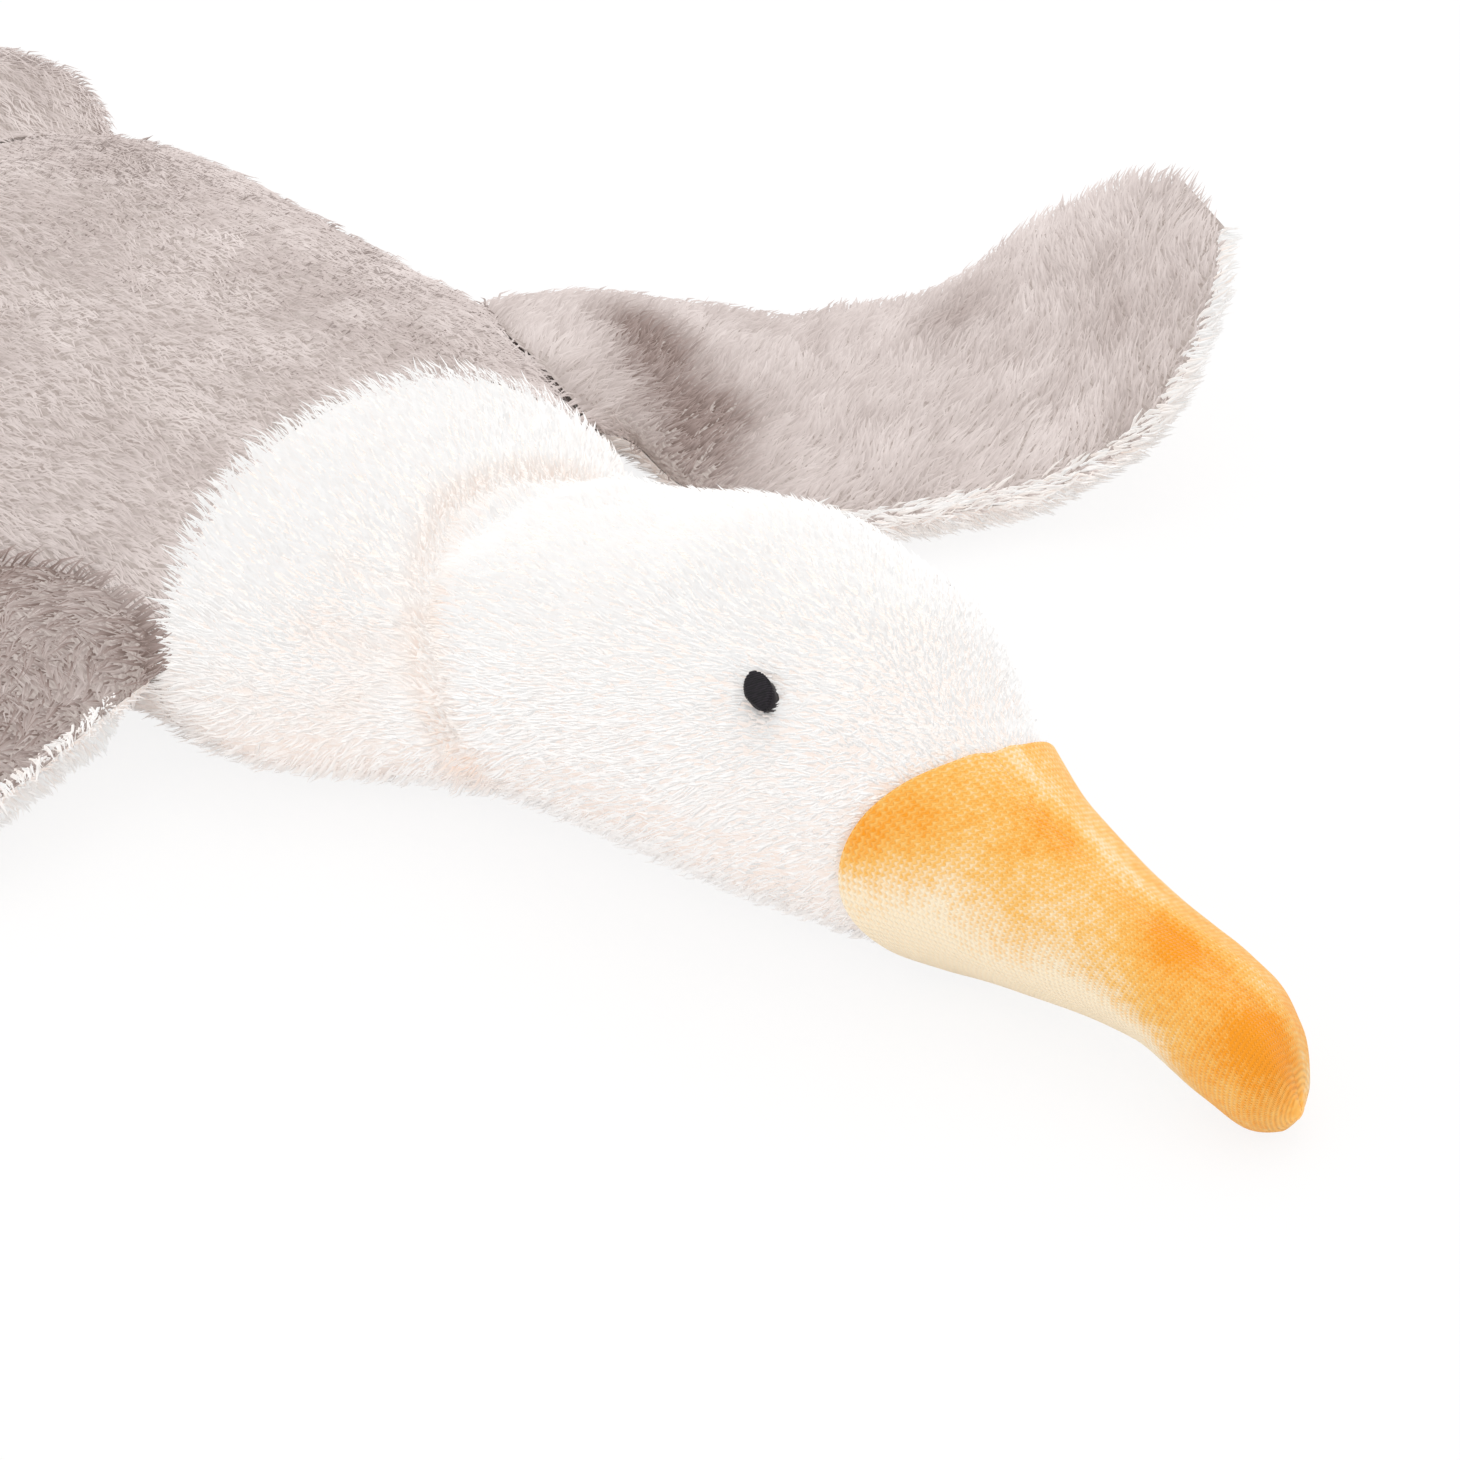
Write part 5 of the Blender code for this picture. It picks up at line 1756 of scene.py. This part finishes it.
@dataclass
class Wing:
    """A wing: a grey upper panel, a white lower one and their pile."""

    form: WingForm
    relief: Relief = Relief(lumps=((0.028, 0.0012, 16), (0.011, 0.0007, 17)))
    # painted shade: patches of darker pile where the wing lies in shade
    painted_shade: tuple[Spot, ...] = ()  # darker pile
    sewn_length: float = 9.0 * MM  # how much of the leading edge at the root has no white pile
    root_reach: float = 5.0 * MM  # how far from its root the wing has pile that is combed over the seam
    edge_reach: float = 7.0 * MM  # how far from the leading edge the grey pile is shorter
    long_strands: int = 7600
    short_strands: int = 5800
    trim_strands: int = 2500
    root_strands: int = 9000
    under_strands: int = 3400
    curl: float = 30.0
    clump: float = 3.2 * MM
    drawn: float = 0.58
    mottle: float = 0.06
    # how much darker the whole pile is: on the near wing partly painted shade, as it slopes away from the
    # light, and partly pile that lies another way
    darker_and_shaded: float = 0.0

    def shade(self, points: Array) -> Array:
        """How light the grey pile is on this wing, darker where shade is painted on it."""
        light = grey_shade(points) - self.darker_and_shaded
        for place, size, depth in self.painted_shade:
            away = np.linalg.norm(points - np.array(place), axis=-1)
            light = light - depth * np.exp(-((away / size) ** 2))
        return light

    def edge_shade(self, points: Array) -> Array:
        """How white the lower panel's pile is, warm where it shows at the edge."""
        return 0.90 + 0.08 * lattice_noise(points, 0.008, 43)

    def build(self) -> None:
        """Makes both panels, their pile and the white trim along the leading edge."""
        name, seed = f"{self.form.side.name.lower()}_wing", 150 + 20 * self.form.side.value
        upper = WingPatch(self.form, 0.0, 0.5, self.relief)
        lower = WingPatch(self.form, 0.5 + 1e-6, 1 - 1e-6, Relief(lumps=((0.03, 0.0004, 18),)))
        edge = WingPatch(self.form, 0.45, 0.62, Relief(lumps=((0.012, 0.0006, 19),)))
        panels = (("upper", upper, GREY, (50, 36)), ("lower", lower, WHITE, (40, 28)))
        for label, patch, plush, size in panels:
            part, node = f"{name}_{label}_cover", f"{name}_{label}_panel"
            Cover(part, patch, node, plush, *size, fill=0.65, end=self.closed).build()
        layers = (
            Layer(self.long_strands, Strand.LOCK, 6.6 * MM, 0.55 * MM, seed),
            Layer(self.short_strands, Strand.SPIKE, 4.4 * MM, 0.6 * MM, seed + 1, (40.0, 18.0)),
        )
        look = {"swirl": self.curl, "clump": self.clump, "drawn": self.drawn, "mottle": self.mottle}
        layered(f"{name}_pile", upper, layers, self.comb, GREY, self.shade, trim=self.trim, **look)
        layer = Layer(self.root_strands, Strand.LOCK, 6.5 * MM, 0.6 * MM, seed + 4, (30.0, 0.0))
        Pile(f"{name}_root_pile", upper, layer, self.root_comb, GREY, self.shade, trim=self.root_trim).build()
        layer = Layer(self.trim_strands, Strand.LOCK, 6.0 * MM, 0.6 * MM, seed + 2, (45.0, 25.0))
        look = {"swirl": 25.0, "mottle": 0.08, "skylit": 1.0, "trim": self.edge_trim}
        Pile(f"{name}_edge_pile", edge, layer, self.edge_comb, WHITE, self.edge_shade, **look).build()
        layer = Layer(self.under_strands, Strand.SPIKE, 3.8 * MM, 0.7 * MM, seed + 3, (35.0, 20.0))
        Pile(f"{name}_lower_pile", lower, layer, under_comb, WHITE, self.edge_shade, skylit=0.8).build()

    def closed(self, last: Array) -> tuple[Array, Array]:
        """Where the panels' ends meet at the wing's tip, and how far they stand out."""
        front, back = self.form.points(1.0, 0.5), self.form.points(1.0, 0.0)
        along = unit(front - back)
        middle = back + np.sum((last - back) * along, axis=-1, keepdims=True) * along
        onwards = unit(self.form.points(1.0, 0.25) - self.form.points(0.95, 0.25))
        return middle, 1.6 * MM * onwards

    def edge_comb(self, points: Array) -> Array:
        """The way the white trim is combed: forward, up over the edge and outwards."""
        return np.broadcast_to(np.array((0.75, 0.35 * self.form.side.value, 0.55)), points.shape)

    def root_comb(self, points: Array) -> Array:
        """The way the pile at the root is combed: back over the seam on to the body."""
        return np.broadcast_to(np.array((0.25, -1.0 * self.form.side.value, 0.35)), points.shape)

    def root_trim(self, points: Array) -> Array:
        """Keeps only the pile close to the wing's root."""
        away = self.distance(points, self.form.points(0.0, np.linspace(0, 0.5, 24)))
        return np.where(away < self.root_reach, 1.0, 0.0)

    @staticmethod
    def distance(points: Array, line: Array) -> Array:
        """How far the points are from the nearest place on a line."""
        return np.min([np.linalg.norm(points - place, axis=-1) for place in line], axis=0)

    def comb(self, points: Array) -> Array:
        """The way the grey pile is combed, which turns out over the tip."""
        tip, before = self.form.points(1.0, 0.25), self.form.points(0.9, 0.25)
        near_tip = (1 - ease(np.linalg.norm(points - tip, axis=-1) / 0.022))[..., None]
        outwards = np.array((-0.15, self.form.side.value, -0.05))
        return outwards * (1 - near_tip) + unit(tip - before) * near_tip

    def trim(self, points: Array) -> Array:
        """Shortens the grey pile beside the leading edge, where the white shows."""
        away = self.distance(points, self.form.points(np.linspace(0, 1, 60), 0.5))
        return 0.45 + 0.55 * ease((away - 1.5 * MM) / self.edge_reach)

    def edge_trim(self, points: Array) -> Array:
        """Leaves out the white pile where the wing is sewn to the body."""
        root = self.form.points(0.0, 0.5)
        return ease((np.linalg.norm(points - root, axis=-1) - self.sewn_length) / (8 * MM))


@dataclass
class Pocket:
    """The heat pack in its lined pocket, and the tapes of the belly's closure."""

    length: float = 0.112
    width: float = 0.090
    thickness: float = 0.020
    edge: float = 0.0020
    pack_x: float = 0.002
    bottom: float = 0.0092
    hem: float = 0.004
    lining: float = 1.0 * MM
    strip: tuple[float, float, float] = (0.014, 0.064, 0.0010)
    closure_x: float = -0.030

    def grid(self, lift: Array | float, hem: float = 0.0, facets: int = 40, stones: float = 0.0) -> Array:
        """A grid over the pack's upper skin.

        Args:
            lift: How far above the skin.
            hem: Width of the hem round it, if it has one.
            facets: Steps each way.
            stones: Depth of the dents between the cherry stones.

        Returns:
            The grid's points.
        """
        steps = np.linspace(-1, 1, facets + 1)
        along, across = self.length / 2 * steps, self.width / 2 * steps
        if hem:
            along = np.concatenate([[along[0] - hem], along, [along[-1] + hem]])
            across = np.concatenate([[across[0] - hem], across, [across[-1] + hem]])
        x, y = np.meshgrid(along, across, indexing="ij")
        far = 1 - (2 * x / self.length) ** 4, 1 - (2 * y / self.width) ** 4
        crown = (np.maximum(far[0], 0) * np.maximum(far[1], 0)) ** 0.45
        rise = self.edge / 2 + (self.thickness - self.edge) / 2 * crown
        middle = self.bottom + self.thickness / 2
        flat = np.stack([x, y, 0 * x], axis=-1)
        dents = stones * crown * (0.5 + 0.5 * lattice_noise(flat, 5.5 * MM, 51))
        on_hem = (np.minimum(*far) < -1e-9) if hem else np.zeros_like(x, bool)
        z = np.where(on_hem, self.bottom, middle + rise - dents)
        return np.stack([x + self.pack_x, y, z + lift], axis=-1)

    def build(self) -> None:
        """Makes the pack, its lining and the two tapes."""
        upper = self.grid(0.0, stones=1.3 * MM)
        lower = upper.copy()
        lower[..., 2] = 2 * self.bottom + self.thickness - upper[..., 2]
        pack = sheet_between("cherry_stone_pack", upper, lower)
        claimed(pack, COTTON, "cotton", "heat_pack", fill=0.6)
        outer, inner = self.grid(SEAM_GAP + self.lining, self.hem), self.grid(SEAM_GAP, self.hem)
        lining = sheet_between("pocket_cloth", outer, inner)
        claimed(lining, COTTON, "cotton", "pocket_lining", fill=0.1)
        self.tape("loop", CLOTH + SEAM_GAP, 1)
        self.tape("hook", CLOTH + self.strip[2] + 2 * SEAM_GAP, -1)

    def tape(self, label: str, level: float, facing: int) -> None:
        """Makes one tape: a woven strip with rows of small hooks or loops.

        Args:
            label: hook or loop.
            level: Height of the tape's underside.
            facing: 1 if its hooks or loops point up, or -1.
        """
        wide, long_way, thick = self.strip
        across, along = np.linspace(-wide / 2, wide / 2, 10), np.linspace(-long_way / 2, long_way / 2, 40)
        x, y = np.meshgrid(across, along, indexing="ij")
        low, high = (level, level + 0.5 * thick) if facing > 0 else (level + 0.5 * thick, level + thick)
        top = np.stack([x + self.closure_x, y, np.full_like(x, high)], axis=-1)
        bottom = top - (0, 0, high - low)
        strip = sheet_between(f"{label}_strip", top, bottom)
        claimed(strip, TAPE, "tape", f"{label}_tape")
        rng = np.random.default_rng(61 + facing)
        rows, columns = 10, 48
        i, j = np.meshgrid(np.arange(rows), np.arange(columns), indexing="ij")
        place_x = (i.ravel() + 0.5) / rows * wide * 0.94 - wide * 0.47 + self.closure_x
        place_y = (j.ravel() + 0.5) / columns * long_way * 0.97 - long_way * 0.485
        face = high if facing > 0 else low
        foot = np.stack([place_x, place_y, np.full(rows * columns, face)], axis=-1)
        foot = foot + rng.normal(0, 0.08 * MM, foot.shape) * (1, 1, 0)
        crook = foot + np.array((0.25 * MM, 0, facing * 0.34 * thick))
        end = foot + np.array((0.55 * MM, 0.1 * MM, facing * 0.42 * thick))
        side, out = np.array((0.0, 1.0, 0.0)), np.array((-1.0, 0.0, 0.0))
        size = np.full((rows * columns, 1), 0.28 * MM)
        rings = Pile.ring(foot, side, out, size), Pile.ring(crook, side, out, size * 0.8)
        points = np.concatenate([*rings, end[:, None]], axis=1).reshape(-1, 3)
        hooks = mesh_object(f"{label}_strip_{label}s", points, strand_faces(2, rows * columns))
        turned_outwards(hooks)
        claimed(hooks, TAPE, "tape")


@dataclass
class Stuffing:
    """The carded wool inside body, head, beak, tail and wings."""

    nodes: tuple[str, ...] = (
        "body_stuffing",
        "head_stuffing",
        "beak_stuffing",
        "tail_stuffing",
        "left_wing_stuffing",
        "right_wing_stuffing",
    )
    longest_edge: float = 6 * MM
    fold_reach: float = 0.025
    fold_share: float = 0.16  # how much of its width the wool loses at the neck's fold

    @staticmethod
    def clearance(node: str, outs: Array) -> Array:
        """How far the wool stays inside its CAD solid, where the cloth over it is dented.

        Args:
            node: The CAD node.
            outs: The solid's outward directions.

        Returns:
            One distance for each direction.
        """
        thin = {"beak_stuffing": 0.9, "left_wing_stuffing": 1.9, "right_wing_stuffing": 1.9}
        plain = thin.get(node, 2.7) * MM
        sunk = 3.5 * MM if node == "tail_stuffing" else 0.0
        return plain + sunk * np.clip(outs[:, 2], 0, 1)

    def build(self) -> None:
        """Makes each lump of wool from its CAD solid, drawn in and made lumpy."""
        for node in self.nodes:
            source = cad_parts[node].data
            bm = bmesh.new()
            bm.from_mesh(source)
            bmesh.ops.remove_doubles(bm, verts=bm.verts, dist=1e-6)
            bmesh.ops.triangulate(bm, faces=bm.faces)
            long_edges = [e for e in bm.edges if e.calc_length() > self.longest_edge]
            bmesh.ops.subdivide_edges(bm, edges=long_edges, cuts=1, use_grid_fill=False)
            bmesh.ops.triangulate(bm, faces=bm.faces)
            bm.normal_update()
            places = np.array([v.co for v in bm.verts])
            outs = np.array([v.normal for v in bm.verts])
            inwards = self.clearance(node, outs) + 0.5 * MM * lattice_noise(places, 8 * MM, 71)
            inwards = inwards + 0.3 * MM * lattice_noise(places, 3 * MM, 72)
            near_fold = np.exp(-(((places[:, 0] - TRUNK.CREASE_X) / self.fold_reach) ** 2))
            moved = places - outs * inwards[:, None]
            middle = np.array((0.0, 0.0, 0.024))
            if node in ("body_stuffing", "head_stuffing"):
                shrink = (1 - self.fold_share * near_fold)[:, None]
                moved[:, 1:] = middle[1:] + (moved[:, 1:] - middle[1:]) * shrink
            for vertex, place in zip(bm.verts, moved):
                vertex.co = place
            mesh = bpy.data.meshes.new(f"{node}_wool")
            bm.to_mesh(mesh)
            bm.free()
            mesh.shade_smooth()
            claimed(linked(f"{node}_wool", mesh), WOOL, "wool", node, fill=0.6)


@dataclass(frozen=True)
class FloorFinish(Finish):
    """A matt white floor that shows as plain white, with soft warm shadows."""

    name: str = "studio_floor"
    colour: Colour = (0.93, 0.895, 0.885)
    shown: float = 0.86

    def dress(self, shader: Shader, surface: bpy.types.NodeInputs) -> None:
        """Mixes plain white over the floor for what the camera sees."""
        surface["Base Color"].default_value = (*self.colour, 1.0)
        surface["Roughness"].default_value = 0.9
        surface["Specular IOR Level"].default_value = 0.1
        nodes = shader.tree.nodes
        path, white, mix = (shader.node(kind) for kind in ("LightPath", "Emission", "MixShader"))
        white.inputs["Strength"].default_value = 1.0
        seen = shader.maths("MAXIMUM", path.outputs["Is Camera Ray"], path.outputs["Is Glossy Ray"])
        shader.join(shader.times(seen, self.shown), mix.inputs[0])
        shader.join(nodes["Principled BSDF"].outputs[0], mix.inputs[1])
        shader.join(white.outputs[0], mix.inputs[2])
        shader.join(mix.outputs[0], nodes["Material Output"].inputs["Surface"])


@dataclass
class Studio:
    """The floor, the soft light and the camera."""

    azimuth: float = 40.0
    elevation: float = 38.0
    distance: float = 1.2
    lens: float = 145.0
    target: Direction = (0.152, 0.020, 0.0)
    world: float = 1.06
    key: float = 5.5
    key_size: float = 1.3
    key_place: Direction = (-0.25, 0.55, 1.5)
    key_target: Direction = (0.1, 0.0, 0.0)
    floor_size: float = 4.0

    def build(self) -> None:
        """Makes the floor, lamps, world and camera."""
        size = self.floor_size
        corners = np.array([(-size, -size, 0), (size, -size, 0), (size, size, 0), (-size, size, 0)], float)
        floor = mesh_object("studio_floor", corners, np.array([(0, 1, 2, 3)]), smooth=False)
        floor.data.materials.append(FloorFinish().material())
        floor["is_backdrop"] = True
        self.lamps()
        self.sky()
        self.camera()

    def aimed(self, made: bpy.types.Object, place: Direction, target: Direction) -> None:
        """Puts an object at a place, facing a target."""
        made.location = place
        made.rotation_mode = "QUATERNION"
        made.rotation_quaternion = (Vector(target) - Vector(place)).to_track_quat("-Z", "Y")

    def lamps(self) -> None:
        """Makes the large soft lamp above and behind the bird."""
        data = bpy.data.lights.new("overhead_softbox", "AREA")
        data.shape = "DISK"
        data.size = self.key_size
        data.energy = self.key
        lamp = linked("overhead_softbox", data)
        self.aimed(lamp, self.key_place, self.key_target)

    def sky(self) -> None:
        """Makes the even white light from all round, and the white that the camera sees."""
        world = bpy.data.worlds.new("studio_light")
        bpy.context.scene.world = world
        world.use_nodes = True
        shader = Shader(world.node_tree)
        path, seen, mix = (shader.node(kind) for kind in ("LightPath", "Background", "MixShader"))
        lit = world.node_tree.nodes["Background"]
        lit.inputs["Color"].default_value = (1.0, 0.99, 0.98, 1.0)
        lit.inputs["Strength"].default_value = self.world
        shader.join(path.outputs["Is Camera Ray"], mix.inputs[0])
        shader.join(lit.outputs[0], mix.inputs[1])
        shader.join(seen.outputs[0], mix.inputs[2])
        seen.inputs["Color"].default_value = (1.0, 1.0, 1.0, 1.0)
        shader.join(mix.outputs[0], world.node_tree.nodes["World Output"].inputs["Surface"])

    def camera(self) -> None:
        """Makes the camera at the photograph's angle."""
        turn, up = math.radians(self.azimuth), math.radians(self.elevation)
        back = Vector((math.sin(turn) * math.cos(up), -math.cos(turn) * math.cos(up), math.sin(up)))
        data = bpy.data.cameras.new("camera")
        data.sensor_width = 36.0
        data.sensor_height = 36.0
        data.lens = self.lens
        data.clip_start = 0.05
        data.clip_end = 20.0
        made = linked("camera", data)
        self.aimed(made, tuple(Vector(self.target) + back * self.distance), self.target)
        bpy.context.scene.camera = made


def main() -> None:
    """Builds the studio and every sub-assembly in order."""
    logging.basicConfig(level=logging.INFO, format="%(name)s %(message)s")
    scene = bpy.context.scene
    scene.view_settings.view_transform = "Standard"
    left = WingForm(Side.LEFT, 0.064, (31.0, 52.0, 38.0, 27.0), 0.030)
    right = WingForm(Side.RIGHT, 0.046, (4.0, -24.0, -28.0, -20.0), 0.006)
    eyes = Eye(Side.RIGHT), Eye(Side.LEFT, up=31.5)
    stages: tuple[tuple[str, object], ...] = (
        ("studio", Studio()),
        ("body", Body()),
        ("tail", Tail()),
        ("head", Head(NECK_FOLDS, eyes)),
        ("beak", Beak()),
        ("right eye", eyes[0]),
        ("left eye", eyes[1]),
        ("left wing", Wing(left, painted_shade=LEFT_WING_PAINTED_SHADE, sewn_length=24.0 * MM)),
        # the near wing's darker pile is partly painted shade
        ("right wing", Wing(right, curl=75.0, clump=4.2 * MM, drawn=0.8, mottle=0.18, darker_and_shaded=0.62)),
        ("pocket", Pocket()),
        ("stuffing", Stuffing()),
    )
    for label, stage in stages:
        stage.build()
        LOG.info("built the %s", label)
    meshes = {piece.name: piece.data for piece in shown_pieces() if piece.type == "MESH"}
    triangles = {name: len(mesh.loops) - 2 * len(mesh.polygons) for name, mesh in meshes.items()}
    LOG.info("%d triangles in all, at most %d in one piece", sum(triangles.values()), max(triangles.values()))


if __name__ == "__main__":
    main()
